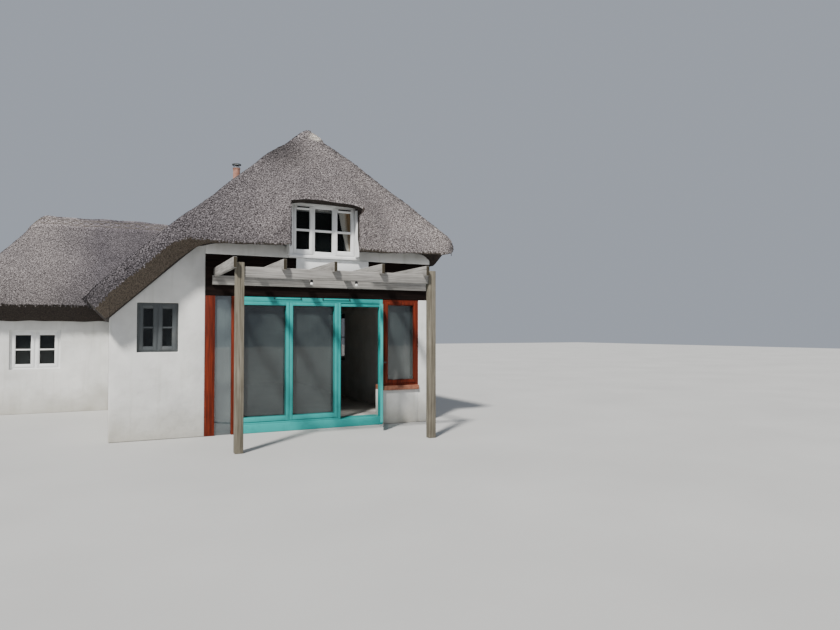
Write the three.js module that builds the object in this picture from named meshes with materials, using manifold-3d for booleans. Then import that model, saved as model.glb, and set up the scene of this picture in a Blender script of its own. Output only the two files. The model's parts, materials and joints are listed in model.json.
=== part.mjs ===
// Thatched cottage: one main block under a hipped, catslide straw roof, a lower side range,
// a glazed garden front with one opening door leaf, a window dormer under a straw brow,
// and a timber pergola on the garden side.
// Millimetres. X runs along the garden front, Y goes back into the house, Z is up.
// The origin is the middle of the main block on the underside of its floor slab.

import * as THREE from 'three';
import { ConvexGeometry } from 'three/addons/geometries/ConvexGeometry.js';
import { mergeVertices } from 'three/addons/utils/BufferGeometryUtils.js';
import Module from 'manifold-3d';

const wasm = await Module();
wasm.setup();

// Fits
const TOUCH = 0.3;
const DOOR_CLEARANCE = 10;

// Main block
const HALF_WIDTH = 2700;
const HALF_DEPTH = 4300;
const WALL = 350;
const FRONT = -HALF_DEPTH;
const INNER_FRONT = FRONT + WALL;
const FLOOR_TOP = 140;
const UPPER_FLOOR_TOP = 2500;
const UPPER_FLOOR_THICKNESS = 180;
const STAIR_OPENING = { x0: 1150, x1: 2150, y0: 600, y1: 2700 };

// Main thatch: where its four slopes start and the ridge where they meet
const RIDGE_X = 620;
const RIDGE_Z = 5410;
const LEFT_EAVE = { x: -3030, z: 2200 };
const LEFT_BREAK = { x: -1200, z: 3905 };
const RIGHT_EAVE = { x: 3100, z: 3260 };
const HIP_EAVE = { y: 4720, z: 3250 };
const HIP_TOP_Y = 3370;
const THATCH_THICKNESS = 460;
const HIP_CHAMFER = 25;
const EAVE_NOSE = 30;
const HIP_SOFFIT_Z = 3110;
const VERGE_FACE = 260;
const RIDGE_CAP_THICKNESS = 60;
const RIDGE_CAP_HALF_WIDTH = 480;
const RIDGE_CAP_TIP_Y = -3520;
const RIDGE_CAP_TIP_HALF_WIDTH = 170;
const RIDGE_CAP_TAPER = 1.2;

// Dormer window in the front hip
const DORMER = { x0: 84, x1: 1215, z0: 2985, z1: 3845 };
const DORMER_SURROUND = 33;
const DORMER_SURROUND_BACK = -3700;
const DORMER_BASE_Z = 2960;
const APRON = { x0: 150, x1: 1460, z0: 2700 };
const BROW_FRONT = -4600;
const BROW_CENTRE = 690;
const BROW_HALF_WIDTH = 650;
const BROW_DROOP = 100;
const BROW_EDGE = 85;
const BROW_BACK_Y = -3740;
const BROW_BACK_HALF_WIDTH = 320;

// Garden front, from left to right
const TIMBER_LEFT = { x0: -1324, x1: -1170 };
const TIMBER_MIDDLE = { x0: -909, x1: -806 };
const DOOR_HEAD_TOP = 2250;
const HEAD_BEAM_TOP = 2920;
const SIDE_WINDOW = { x0: 1752, x1: 2465, z0: 690, z1: 2250 };
const DWARF_WALL_TOP = 610;
const SMALL_WINDOW = { x0: -2320, x1: -1720, z0: 1350, z1: 2120 };

// Door set
const DOOR_FRAME_DEPTH = 90;
const DOOR_HEAD = 140;
const DOOR_BOTTOM_RAIL = 120;
const LIGHTS = [
  { x0: -716, x1: -12 },
  { x0: 104, x1: 842 },
];
const DOORWAY = { x0: 958, x1: 1692 };
const LEAF_WIDTH = 775;
const LEAF_THICKNESS = 45;
const LEAF_STILE = 75;
const LEAF_BOTTOM_RAIL = 150;
const LEAF_OPEN_AT_REST = THREE.MathUtils.degToRad(67.5);
const HINGE_X = 1716;
const HINGE_RADIUS = 7;
const HINGE_HEIGHT = 90;
const HINGE_LEVELS = [510, 1900];
const PANE = 24;

// Side range behind the left wall
const RANGE = { x0: -5300, y0: 200, y1: 4200 };
const RANGE_RIDGE = { y: 2200, z: 4350 };
const RANGE_PITCH = 0.9;
const RANGE_OVERHANG = 350;
const RANGE_HIP_PITCH = 1.35;
const RANGE_DOORWAY = { y0: 1700, y1: 2700, z1: 1760 };

// Chimney
const STACK = { x0: 300, x1: 780, y0: 3350, y1: HALF_DEPTH - WALL, z1: 5700, cap: 25 };
const POT_RADIUS = 95;
const POT_HEIGHT = 630;

// Pergola
const BEAM_Y = -5950;
const BEAM = { z0: 2425, z1: 2575, thickness: 70 };
const POST_SIDE = 115;
const POST_TOP = 2630;
const PERGOLA_SPAN = { x0: -1030, x1: 1830 };
const LEDGER_END_X = 2600;
const RAFTER = { z0: 2545, z1: 2695, thickness: 50, tip: -6090 };
const FIRST_RAFTER_X = PERGOLA_SPAN.x0 - POST_SIDE - RAFTER.thickness / 2 - TOUCH;
const RAFTERS_X = [FIRST_RAFTER_X, -484, 262, 1012, 1760];

// Finishes
const finish = (color, roughness, metalness = 0) =>
  new THREE.MeshStandardMaterial({ color, roughness, metalness });
const STRAW = finish(0x8c8076, 0.95);
const RENDER_WHITE = finish(0xd8d9d6, 0.9);
const WHITE_PAINT = finish(0xe8e9e6, 0.5);
const TEAL_PAINT = finish(0x3c9c92, 0.45);
const RED_STAIN = finish(0x7a3420, 0.6);
const DARK_STAIN = finish(0x2e2420, 0.75);
const WEATHERED_OAK = finish(0x96948f, 0.85);
const GLASS = finish(0x9fb4b8, 0.05);
const DARK_FRAME = finish(0x3f4448, 0.5);
const CONCRETE = finish(0x9a9892, 0.9);
const FLOOR_BOARDS = finish(0x8a6f52, 0.7);
const CLAY = finish(0xbe9176, 0.85);
const STEEL = finish(0x8d9092, 0.35, 1);
const BLACK_IRON = finish(0x1c1c1d, 0.5, 0.6);
const TILE_RED = finish(0x9a5038, 0.8);
const CLOTH = finish(0xd9cdb8, 0.95);

// Solids

function boxGeometry(x0, x1, y0, y1, z0, z1) {
  const geometry = new THREE.BoxGeometry(x1 - x0, y1 - y0, z1 - z0);
  geometry.translate((x0 + x1) / 2, (y0 + y1) / 2, (z0 + z1) / 2);
  return geometry;
}

function solid(geometry) {
  const bare = geometry.clone();
  bare.deleteAttribute('normal');
  bare.deleteAttribute('uv');
  const merged = mergeVertices(bare, 1e-3);
  return new wasm.Manifold(new wasm.Mesh({
    numProp: 3,
    vertProperties: new Float32Array(merged.attributes.position.array),
    triVerts: new Uint32Array(merged.index.array),
  }));
}

const block = (...limits) => solid(boxGeometry(...limits));

function geometryOf(body) {
  const mesh = body.getMesh();
  const geometry = new THREE.BufferGeometry();
  geometry.setAttribute('position', new THREE.BufferAttribute(mesh.vertProperties, 3));
  geometry.setIndex(new THREE.BufferAttribute(mesh.triVerts, 1));
  geometry.computeVertexNormals();
  return geometry;
}

// A roof plane is a height: z = slopeX * x + slopeY * y + base
const plane = (slopeX, slopeY, base) => ({ slopeX, slopeY, base });
const heightOn = (p, x, y) => p.slopeX * x + p.slopeY * y + p.base;
const raised = (p, dz) => plane(p.slopeX, p.slopeY, p.base + dz);

function keepBelow(body, p) {
  const length = Math.hypot(p.slopeX, p.slopeY, 1);
  return body.trimByPlane([p.slopeX, p.slopeY, -1], -p.base / length);
}

// Keeps the side of an upright plane where p is the lower of the two roof planes p and q
function keepWhereLower(body, p, q, gap) {
  const nx = q.slopeX - p.slopeX;
  const ny = q.slopeY - p.slopeY;
  const length = Math.hypot(nx, ny);
  return body.trimByPlane([nx, ny, 0], (p.base - q.base) / length + gap / 2);
}

const midPlane = (p, q, drop) => plane(
  (p.slopeX + q.slopeX) / 2,
  (p.slopeY + q.slopeY) / 2,
  (p.base + q.base) / 2 - drop,
);

const uprightThickness = (pitch) => THATCH_THICKNESS * Math.hypot(1, pitch);

// Main roof planes

const leftPitch = (LEFT_BREAK.z - LEFT_EAVE.z) / (LEFT_BREAK.x - LEFT_EAVE.x);
const upperLeftPitch = (RIDGE_Z - LEFT_BREAK.z) / (RIDGE_X - LEFT_BREAK.x);
const rightPitch = (RIDGE_Z - RIGHT_EAVE.z) / (RIGHT_EAVE.x - RIDGE_X);
const hipPitch = (RIDGE_Z - HIP_EAVE.z) / (HIP_EAVE.y - HIP_TOP_Y);
const LEFT = plane(leftPitch, 0, LEFT_EAVE.z - leftPitch * LEFT_EAVE.x);
const UPPER_LEFT = plane(upperLeftPitch, 0, LEFT_BREAK.z - upperLeftPitch * LEFT_BREAK.x);
const RIGHT = plane(-rightPitch, 0, RIGHT_EAVE.z + rightPitch * RIGHT_EAVE.x);
const FRONT_HIP = plane(0, hipPitch, HIP_EAVE.z + hipPitch * HIP_EAVE.y);
const REAR_HIP = plane(0, -hipPitch, HIP_EAVE.z + hipPitch * HIP_EAVE.y);
const SLOPES = [LEFT, UPPER_LEFT, RIGHT, FRONT_HIP, REAR_HIP];
const HIP_ARRISES = [FRONT_HIP, REAR_HIP].flatMap((hip) => [
  midPlane(LEFT, hip, HIP_CHAMFER),
  midPlane(UPPER_LEFT, hip, HIP_CHAMFER),
  midPlane(RIGHT, hip, HIP_CHAMFER),
]);

const ROOF_TOP_LIMIT = 7000;

// Everything under the main thatch's outer surface
function mainEnvelope(lift = 0) {
  let body = block(LEFT_EAVE.x, RIGHT_EAVE.x, -HIP_EAVE.y, HIP_EAVE.y, -10, ROOF_TOP_LIMIT);
  for (const p of [...SLOPES, ...HIP_ARRISES]) {
    body = keepBelow(body, raised(p, lift));
  }
  return body;
}

// Everything under the main thatch's inner surface
function mainLoft(drop = 0) {
  let body = block(
    LEFT_EAVE.x - 10, RIGHT_EAVE.x + 10, -HIP_EAVE.y - 10, HIP_EAVE.y + 10, -20, ROOF_TOP_LIMIT,
  );
  body = keepBelow(body, raised(LEFT, -uprightThickness(leftPitch) - drop));
  body = keepBelow(body, raised(UPPER_LEFT, -uprightThickness(upperLeftPitch) - drop));
  body = keepBelow(body, raised(RIGHT, -uprightThickness(rightPitch) - drop));
  body = keepBelow(body, raised(FRONT_HIP, -uprightThickness(hipPitch) - drop));
  return keepBelow(body, raised(REAR_HIP, -uprightThickness(hipPitch) - drop));
}

// The straw is cut back square to its slope at an eave
const squareCut = (pitch) => 1 / pitch;

function underLeftEave() {
  const cut = squareCut(leftPitch);
  const underside = plane(-cut, 0, LEFT_EAVE.z - EAVE_NOSE + cut * LEFT_EAVE.x);
  const reach = block(LEFT_EAVE.x - 20, -HALF_WIDTH, -5000, 5000, -30, ROOF_TOP_LIMIT);
  return keepBelow(reach, underside);
}

function underRightEave() {
  const cut = squareCut(rightPitch);
  const underside = plane(cut, 0, RIGHT_EAVE.z - EAVE_NOSE - cut * RIGHT_EAVE.x);
  const reach = block(HALF_WIDTH, RIGHT_EAVE.x + 20, -5000, 5000, -30, ROOF_TOP_LIMIT);
  return keepBelow(reach, underside);
}

// Under the verge and the hip eave, side -1 is the garden front and 1 the rear
function underHipEave(side) {
  const overhang = HIP_EAVE.y - HALF_DEPTH;
  const undercut = (uprightThickness(leftPitch) + 20 - VERGE_FACE) / overhang;
  const verge = plane(LEFT.slopeX, side * undercut, LEFT.base - VERGE_FACE - undercut * HIP_EAVE.y);
  const soffit = plane(0, 0, HIP_SOFFIT_Z);
  const y0 = side < 0 ? -HIP_EAVE.y - 20 : HALF_DEPTH;
  const y1 = side < 0 ? -HALF_DEPTH : HIP_EAVE.y + 20;
  const reach = block(LEFT_EAVE.x - 20, RIGHT_EAVE.x + 20, y0, y1, -30, ROOF_TOP_LIMIT);
  return keepBelow(keepBelow(reach, verge), soffit);
}

// Side range roof planes

const rangeEaveZ = RANGE_RIDGE.z - RANGE_PITCH * (RANGE_RIDGE.y - RANGE.y0 + RANGE_OVERHANG);
const RANGE_FRONT = plane(0, RANGE_PITCH, RANGE_RIDGE.z - RANGE_PITCH * RANGE_RIDGE.y);
const RANGE_REAR = plane(0, -RANGE_PITCH, RANGE_RIDGE.z + RANGE_PITCH * RANGE_RIDGE.y);
const rangeEndX = RANGE.x0 - RANGE_OVERHANG;
const RANGE_HIP = plane(RANGE_HIP_PITCH, 0, rangeEaveZ - RANGE_HIP_PITCH * rangeEndX);
const rangeFrontY = RANGE.y0 - RANGE_OVERHANG;
const rangeRearY = RANGE.y1 + RANGE_OVERHANG;

function rangeEnvelope(x1, lift = 0) {
  let body = block(rangeEndX, x1, rangeFrontY, rangeRearY, -10, ROOF_TOP_LIMIT);
  for (const p of [RANGE_FRONT, RANGE_REAR, RANGE_HIP]) {
    body = keepBelow(body, raised(p, lift));
  }
  for (const p of [RANGE_FRONT, RANGE_REAR]) {
    body = keepBelow(body, midPlane(p, RANGE_HIP, HIP_CHAMFER - lift));
  }
  return body;
}

function rangeLoft(x1, drop = 0) {
  const slopeDrop = uprightThickness(RANGE_PITCH) + drop;
  let body = block(rangeEndX - 10, x1, rangeFrontY - 10, rangeRearY + 10, -20, ROOF_TOP_LIMIT);
  body = keepBelow(body, raised(RANGE_FRONT, -slopeDrop));
  body = keepBelow(body, raised(RANGE_REAR, -slopeDrop));
  return keepBelow(body, raised(RANGE_HIP, -uprightThickness(RANGE_HIP_PITCH) - drop));
}

function underRangeEaves() {
  const cut = squareCut(RANGE_PITCH);
  const hipCut = squareCut(RANGE_HIP_PITCH);
  const nose = rangeEaveZ - EAVE_NOSE;
  const front = keepBelow(
    block(rangeEndX - 20, 0, rangeFrontY - 20, RANGE.y0, -30, ROOF_TOP_LIMIT),
    plane(0, -cut, nose + cut * rangeFrontY),
  );
  const rear = keepBelow(
    block(rangeEndX - 20, 0, RANGE.y1, rangeRearY + 20, -30, ROOF_TOP_LIMIT),
    plane(0, cut, nose - cut * rangeRearY),
  );
  const end = keepBelow(
    block(rangeEndX - 20, RANGE.x0, rangeFrontY - 20, rangeRearY + 20, -30, ROOF_TOP_LIMIT),
    plane(-hipCut, 0, nose + hipCut * rangeEndX),
  );
  return front.add(rear).add(end);
}

// Thatch

const stackHole = () => block(
  STACK.x0 - TOUCH, STACK.x1 + TOUCH, STACK.y0 - TOUCH, STACK.y1 + 2 * TOUCH, 0, ROOF_TOP_LIMIT,
);

// Straw brow that swells out of the hip over the dormer window
function brow() {
  const points = [];
  const steps = 8;
  for (let i = 0; i <= steps; i++) {
    const across = -1 + 2 * i / steps;
    const x = BROW_CENTRE + across * BROW_HALF_WIDTH;
    const z = DORMER.z1 - BROW_DROOP * across ** 4;
    points.push(new THREE.Vector3(x, BROW_FRONT, z));
    points.push(new THREE.Vector3(x, BROW_FRONT + BROW_EDGE / 3, z + BROW_EDGE));
  }
  for (const side of [-1, 1]) {
    const x = BROW_CENTRE + side * BROW_BACK_HALF_WIDTH;
    points.push(new THREE.Vector3(x, BROW_BACK_Y, heightOn(FRONT_HIP, x, BROW_BACK_Y)));
    const wide = BROW_CENTRE + side * BROW_HALF_WIDTH;
    points.push(new THREE.Vector3(wide, INNER_FRONT, DORMER.z1 - BROW_DROOP));
  }
  return solid(new ConvexGeometry(points));
}

function dormerNotch() {
  const x0 = DORMER.x0 - DORMER_SURROUND - TOUCH;
  const x1 = DORMER.x1 + DORMER_SURROUND + TOUCH;
  return block(x0, x1, -5000, DORMER_SURROUND_BACK + TOUCH, 0, DORMER.z1 + DORMER_SURROUND + TOUCH);
}

const mainShell = mainEnvelope()
  .subtract(mainLoft())
  .subtract(underLeftEave())
  .subtract(underRightEave())
  .subtract(underHipEave(-1))
  .subtract(underHipEave(1));

// The upright prism over which a hip is lower than every slope beside it
function hipRegion(hip, gap) {
  const y0 = hip === FRONT_HIP ? -5000 : 0;
  let region = block(-4000, 4000, y0, y0 + 5000, -50, ROOF_TOP_LIMIT + 50);
  for (const slope of [LEFT, UPPER_LEFT, RIGHT]) {
    region = keepWhereLower(region, hip, slope, gap);
  }
  return region;
}

const frontHip = () => mainShell
  .intersect(hipRegion(FRONT_HIP, TOUCH))
  .add(brow().subtract(mainLoft()))
  .subtract(dormerNotch());

const rearHip = () => mainShell
  .intersect(hipRegion(REAR_HIP, TOUCH))
  .subtract(stackHole());

const betweenHips = () => mainShell
  .subtract(hipRegion(FRONT_HIP, -TOUCH))
  .subtract(hipRegion(REAR_HIP, -TOUCH))
  .subtract(stackHole());

const leftSlope = () => keepWhereLower(betweenHips(), UPPER_LEFT, RIGHT, TOUCH)
  .subtract(rangeEnvelope(-HALF_WIDTH, TOUCH));

const rightSlope = () => keepWhereLower(betweenHips(), RIGHT, UPPER_LEFT, TOUCH);

// Raised cap along the ridge, narrowing to a blunt end just over the front hip
function ridgeCap() {
  let band = mainEnvelope(RIDGE_CAP_THICKNESS);
  band = band.intersect(block(
    RIDGE_X - RIDGE_CAP_HALF_WIDTH, RIDGE_X + RIDGE_CAP_HALF_WIDTH,
    RIDGE_CAP_TIP_Y, STACK.y0 - TOUCH, 0, ROOF_TOP_LIMIT,
  ));
  const length = Math.hypot(1, RIDGE_CAP_TAPER);
  for (const side of [-1, 1]) {
    const throughTip = side * RIDGE_X + RIDGE_CAP_TAPER * RIDGE_CAP_TIP_Y - RIDGE_CAP_TIP_HALF_WIDTH;
    band = band.trimByPlane([side, RIDGE_CAP_TAPER, 0], throughTip / length);
  }
  return band.subtract(mainEnvelope(TOUCH));
}

function rangeThatch() {
  const reach = RIDGE_X;
  return rangeEnvelope(reach)
    .subtract(rangeLoft(reach))
    .subtract(underRangeEaves())
    .subtract(mainEnvelope(TOUCH).intersect(
      block(-HALF_WIDTH - TOUCH, 5000, -5000, 5000, -100, ROOF_TOP_LIMIT + 10),
    ));
}

// Walls

const underMainRoof = mainLoft(TOUCH);
const underRangeRoof = rangeLoft(-HALF_WIDTH + 100, TOUCH);
const TALL = 6000;

const opening = ({ x0, x1, z0, z1 }, y0, y1) => block(x0, x1, y0, y1, z0, z1);

function frontWallLeft() {
  return block(-HALF_WIDTH, TIMBER_LEFT.x0 - TOUCH, FRONT, INNER_FRONT, 0, TALL)
    .intersect(underMainRoof)
    .subtract(opening(SMALL_WINDOW, FRONT - 10, INNER_FRONT + 10));
}

function gablePanel() {
  const notch = {
    x0: DORMER.x0 - DORMER_SURROUND - TOUCH,
    x1: DORMER.x1 + DORMER_SURROUND + TOUCH,
    z0: DORMER_BASE_Z,
    z1: TALL,
  };
  return block(TIMBER_LEFT.x0, HALF_WIDTH, FRONT, INNER_FRONT, HEAD_BEAM_TOP + TOUCH, TALL)
    .intersect(underMainRoof)
    .subtract(opening(notch, FRONT - 10, INNER_FRONT + 10));
}

const SIDE_WALL_Y = HALF_DEPTH - WALL - TOUCH;
const RIGHT_WINDOW = { y0: -500, y1: 700, z0: 950, z1: 2100 };

function rightWall() {
  const w = RIGHT_WINDOW;
  return block(HALF_WIDTH - WALL, HALF_WIDTH, -SIDE_WALL_Y, SIDE_WALL_Y, 0, TALL)
    .intersect(underMainRoof)
    .subtract(block(HALF_WIDTH - WALL - 10, HALF_WIDTH + 10, w.y0, w.y1, w.z0, w.z1));
}

function leftWall() {
  const d = RANGE_DOORWAY;
  return block(-HALF_WIDTH, -HALF_WIDTH + WALL, -SIDE_WALL_Y, SIDE_WALL_Y, 0, TALL)
    .intersect(underMainRoof)
    .subtract(block(-HALF_WIDTH - 10, -HALF_WIDTH + WALL + 10, d.y0, d.y1, -10, d.z1));
}

const REAR_WINDOW = { x0: -1150, x1: 50, z0: 950, z1: 2100 };

function rearWall() {
  return block(-HALF_WIDTH, HALF_WIDTH, HALF_DEPTH - WALL, HALF_DEPTH, 0, TALL)
    .intersect(underMainRoof)
    .subtract(opening(REAR_WINDOW, HALF_DEPTH - WALL - 10, HALF_DEPTH + 10));
}

const RANGE_WINDOW = { x0: -4500, x1: -3600, z0: 900, z1: 1700 };

function rangeWalls() {
  const outer = block(RANGE.x0, -HALF_WIDTH - TOUCH, RANGE.y0, RANGE.y1, 0, TALL);
  const room = block(RANGE.x0 + WALL, 0, RANGE.y0 + WALL, RANGE.y1 - WALL, -10, TALL + 10);
  return outer
    .subtract(room)
    .intersect(underRangeRoof)
    .subtract(opening(RANGE_WINDOW, RANGE.y0 - 10, RANGE.y0 + WALL + 10));
}

// Floors

function groundFloor() {
  const main = block(
    -HALF_WIDTH + WALL + TOUCH, HALF_WIDTH - WALL - TOUCH,
    INNER_FRONT + TOUCH, -INNER_FRONT - TOUCH, 0, FLOOR_TOP,
  );
  const passage = block(
    -HALF_WIDTH - 50, -HALF_WIDTH + WALL + 50,
    RANGE_DOORWAY.y0 + TOUCH, RANGE_DOORWAY.y1 - TOUCH, 0, FLOOR_TOP,
  );
  const range = block(
    RANGE.x0 + WALL + TOUCH, -HALF_WIDTH - TOUCH,
    RANGE.y0 + WALL + TOUCH, RANGE.y1 - WALL - TOUCH, 0, FLOOR_TOP,
  );
  return main.add(passage).add(range);
}

function upperFloor() {
  const z0 = UPPER_FLOOR_TOP - UPPER_FLOOR_THICKNESS;
  const { x0, x1, y0, y1 } = STAIR_OPENING;
  return block(
    -HALF_WIDTH, HALF_WIDTH - WALL - TOUCH,
    INNER_FRONT + TOUCH, -INNER_FRONT - TOUCH, z0, UPPER_FLOOR_TOP,
  )
    .intersect(underMainRoof)
    .subtract(stackHole())
    .subtract(block(x0, x1, y0, y1, z0 - 10, UPPER_FLOOR_TOP + 10));
}

// Windows: a frame with its lights cut out and one sheet of glass behind the bars

function lightsBetween(from, to, count, edge, bar) {
  const width = (to - from - 2 * edge - (count - 1) * bar) / count;
  return Array.from({ length: count }, (_, i) => {
    const start = from + edge + i * (width + bar);
    return { from: start, to: start + width };
  });
}

function windowFrame({ x0, x1, z0, z1 }, y0, y1, count, edge, bar) {
  let frame = block(x0 + TOUCH, x1 - TOUCH, y0, y1, z0 + TOUCH, z1 - TOUCH);
  for (const light of lightsBetween(x0, x1, count, edge, bar)) {
    frame = frame.subtract(block(light.from, light.to, y0 - 10, y1 + 10, z0 + edge, z1 - edge));
  }
  return frame;
}

const windowGlass = ({ x0, x1, z0, z1 }, y) => boxGeometry(
  x0 + TOUCH, x1 - TOUCH, y + TOUCH, y + PANE, z0 + TOUCH, z1 - TOUCH,
);

function dormerSurround() {
  const { x0, x1, z1 } = DORMER;
  const s = DORMER_SURROUND;
  return block(x0 - s, x1 + s, FRONT, DORMER_SURROUND_BACK, DORMER_BASE_Z + TOUCH, z1 + s)
    .subtract(block(x0, x1, FRONT - 10, DORMER_SURROUND_BACK + 10, DORMER.z0, z1));
}

const WINDOW_EDGE = 45;

function dormerWindow() {
  const depth = 60;
  return windowFrame(DORMER, FRONT + 5, FRONT + 5 + depth, 3, 55, 95);
}

const rightWindowParts = () => {
  const w = RIGHT_WINDOW;
  const x0 = HALF_WIDTH - 130;
  const x1 = HALF_WIDTH - 70;
  let frame = block(x0, x1, w.y0 + TOUCH, w.y1 - TOUCH, w.z0 + TOUCH, w.z1 - TOUCH);
  for (const light of lightsBetween(w.y0, w.y1, 2, WINDOW_EDGE, 60)) {
    frame = frame.subtract(
      block(x0 - 10, x1 + 10, light.from, light.to, w.z0 + WINDOW_EDGE, w.z1 - WINDOW_EDGE),
    );
  }
  const glass = boxGeometry(
    x0 - PANE, x0 - TOUCH, w.y0 + TOUCH, w.y1 - TOUCH, w.z0 + TOUCH, w.z1 - TOUCH,
  );
  return { frame, glass };
};

// Door set

function doorFrame() {
  const x0 = TIMBER_MIDDLE.x1 + TOUCH;
  const x1 = SIDE_WINDOW.x0 - TOUCH;
  const back = FRONT + DOOR_FRAME_DEPTH;
  const headBottom = DOOR_HEAD_TOP - DOOR_HEAD;
  let frame = block(x0, x1, FRONT, back, FLOOR_TOP + TOUCH, DOOR_HEAD_TOP - TOUCH);
  for (const light of LIGHTS) {
    frame = frame.subtract(block(
      light.x0, light.x1, FRONT - 10, back + 10, FLOOR_TOP + DOOR_BOTTOM_RAIL, headBottom,
    ));
  }
  const doorway = block(DOORWAY.x0, DOORWAY.x1, FRONT - 10, back + 10, 0, headBottom);
  return frame.subtract(doorway);
}

const leafBottom = FLOOR_TOP + DOOR_CLEARANCE;
const leafTop = DOOR_HEAD_TOP - DOOR_HEAD + 20;
const leafOuter = -LEAF_THICKNESS / 2;
const leafEnd = -HINGE_RADIUS - 0.5;

// The leaf is drawn shut, with its hinge pin at the origin of its own group
function doorLeaf() {
  const x0 = leafEnd - LEAF_WIDTH;
  const y0 = leafOuter;
  const y1 = leafOuter + LEAF_THICKNESS;
  return block(x0, leafEnd, y0, y1, leafBottom, leafTop).subtract(block(
    x0 + LEAF_STILE, leafEnd - LEAF_STILE, y0 - 10, y1 + 10,
    leafBottom + LEAF_BOTTOM_RAIL, leafTop - LEAF_STILE,
  ));
}

function doorLeafGlass() {
  const x0 = leafEnd - LEAF_WIDTH + LEAF_STILE;
  return boxGeometry(
    x0 + TOUCH, leafEnd - LEAF_STILE - TOUCH, -PANE / 2, PANE / 2,
    leafBottom + LEAF_BOTTOM_RAIL + TOUCH, leafTop - LEAF_STILE - TOUCH,
  );
}

const HANDLE_Z = 1150;

function doorHandle() {
  const x = leafEnd - LEAF_WIDTH + LEAF_STILE / 2;
  const face = leafOuter - TOUCH;
  const plate = block(x - 16, x + 16, face - 8, face, HANDLE_Z - 110, HANDLE_Z + 110);
  const neck = block(x - 8, x + 8, face - 50, face - 4, HANDLE_Z - 8, HANDLE_Z + 8);
  const lever = block(x - 8, x + 115, face - 58, face - 44, HANDLE_Z - 8, HANDLE_Z + 8);
  return plate.add(neck).add(lever);
}

const hingeY = FRONT - DOOR_CLEARANCE - LEAF_THICKNESS / 2;

function doorHinge(level) {
  const pin = new THREE.CylinderGeometry(HINGE_RADIUS, HINGE_RADIUS, HINGE_HEIGHT, 16);
  pin.rotateX(Math.PI / 2);
  pin.translate(HINGE_X, hingeY, level);
  const half = HINGE_HEIGHT / 2;
  const plate = block(
    HINGE_X, HINGE_X + 12, hingeY, FRONT - TOUCH, level - half, level + half,
  );
  return solid(pin).add(plate);
}

// Pergola

function pergolaBeam(y0, y1, x0, x1) {
  return boxGeometry(x0 + TOUCH, x1 - TOUCH, y0, y1, BEAM.z0, BEAM.z1);
}

const beamFront = BEAM_Y - BEAM.thickness / 2;
const beamBack = BEAM_Y + BEAM.thickness / 2;
const ledgerFront = FRONT - TOUCH - 50;

// Square-cut at the tip and notched down over the beam and the ledger
function rafter(x) {
  const half = RAFTER.thickness / 2;
  const notchTop = BEAM.z1 + TOUCH;
  return block(x - half, x + half, RAFTER.tip, FRONT - TOUCH, RAFTER.z0, RAFTER.z1)
    .subtract(block(x - 100, x + 100, beamFront - TOUCH, beamBack + TOUCH, 0, notchTop))
    .subtract(block(x - 100, x + 100, ledgerFront - TOUCH, FRONT + 10, 0, notchTop));
}

function post(x0) {
  const half = POST_SIDE / 2;
  return boxGeometry(x0, x0 + POST_SIDE, BEAM_Y - half, BEAM_Y + half, 0, POST_TOP);
}

function lamp(x) {
  const profile = [[0, 0], [20, 0], [24, -12], [24, -46], [16, -60], [0, -60]];
  const geometry = new THREE.LatheGeometry(profile.map(([r, z]) => new THREE.Vector2(r, z)).reverse(), 16);
  geometry.rotateX(Math.PI / 2);
  geometry.translate(x, BEAM_Y, BEAM.z0 - TOUCH);
  return geometry;
}

// Chimney

function chimneyStack() {
  const { x0, x1, y0, y1, z1, cap } = STACK;
  const flue = new THREE.CylinderGeometry(POT_RADIUS - 25, POT_RADIUS - 25, 500, 20);
  flue.rotateX(Math.PI / 2);
  flue.translate((x0 + x1) / 2, (y0 + y1) / 2, z1);
  return block(x0, x1, y0, y1 - TOUCH, FLOOR_TOP + TOUCH, z1)
    .add(block(x0 - cap, x1 + cap, y0 - cap, y1 + cap, z1 - 90, z1))
    .subtract(solid(flue));
}

const stackX = (STACK.x0 + STACK.x1) / 2;
const stackY = (STACK.y0 + STACK.y1) / 2;
const potBase = STACK.z1 + TOUCH;

function standing(profile, segments, base) {
  const points = profile.map(([r, z]) => new THREE.Vector2(r, z));
  const geometry = new THREE.LatheGeometry(points, segments);
  geometry.rotateX(Math.PI / 2);
  geometry.translate(stackX, stackY, base);
  return geometry;
}

function chimneyPot() {
  const r = POT_RADIUS;
  const bore = r - 22;
  return standing([
    [bore, 0], [r + 25, 0], [r + 25, 30], [r + 4, 60], [r, POT_HEIGHT - 45],
    [r + 10, POT_HEIGHT - 35], [r + 10, POT_HEIGHT], [bore, POT_HEIGHT], [bore, 0],
  ], 20, potBase);
}

function chimneyCowl() {
  const r = POT_RADIUS;
  const ring = standing([[r - 15, 0], [r + 8, 0], [r + 8, 22], [r - 15, 22], [r - 15, 0]], 20, 0);
  const hood = standing([[0, 95], [r + 30, 95], [r + 34, 105], [r + 20, 122], [0, 150]], 20, 0);
  let body = solid(ring).add(solid(hood));
  for (let i = 0; i < 4; i++) {
    const turn = Math.PI / 4 + i * Math.PI / 2;
    const leg = new THREE.BoxGeometry(8, 22, 85);
    leg.rotateZ(turn);
    leg.translate(stackX + (r - 4) * Math.cos(turn), stackY + (r - 4) * Math.sin(turn), 58);
    body = body.add(solid(leg));
  }
  return geometryOf(body).translate(0, 0, potBase + POT_HEIGHT + TOUCH);
}

// Curtain behind the dormer's right light

const CURTAIN = { x0: 880, x1: 1205, top: 3788, bottom: 2990, y: -4170, fold: 28 };

function curtainPole() {
  const geometry = new THREE.CylinderGeometry(11, 11, DORMER.x1 - DORMER.x0 - 2 * TOUCH, 12);
  geometry.rotateZ(Math.PI / 2);
  geometry.translate((DORMER.x0 + DORMER.x1) / 2, CURTAIN.y, CURTAIN.top + TOUCH + 11);
  return geometry;
}

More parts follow.
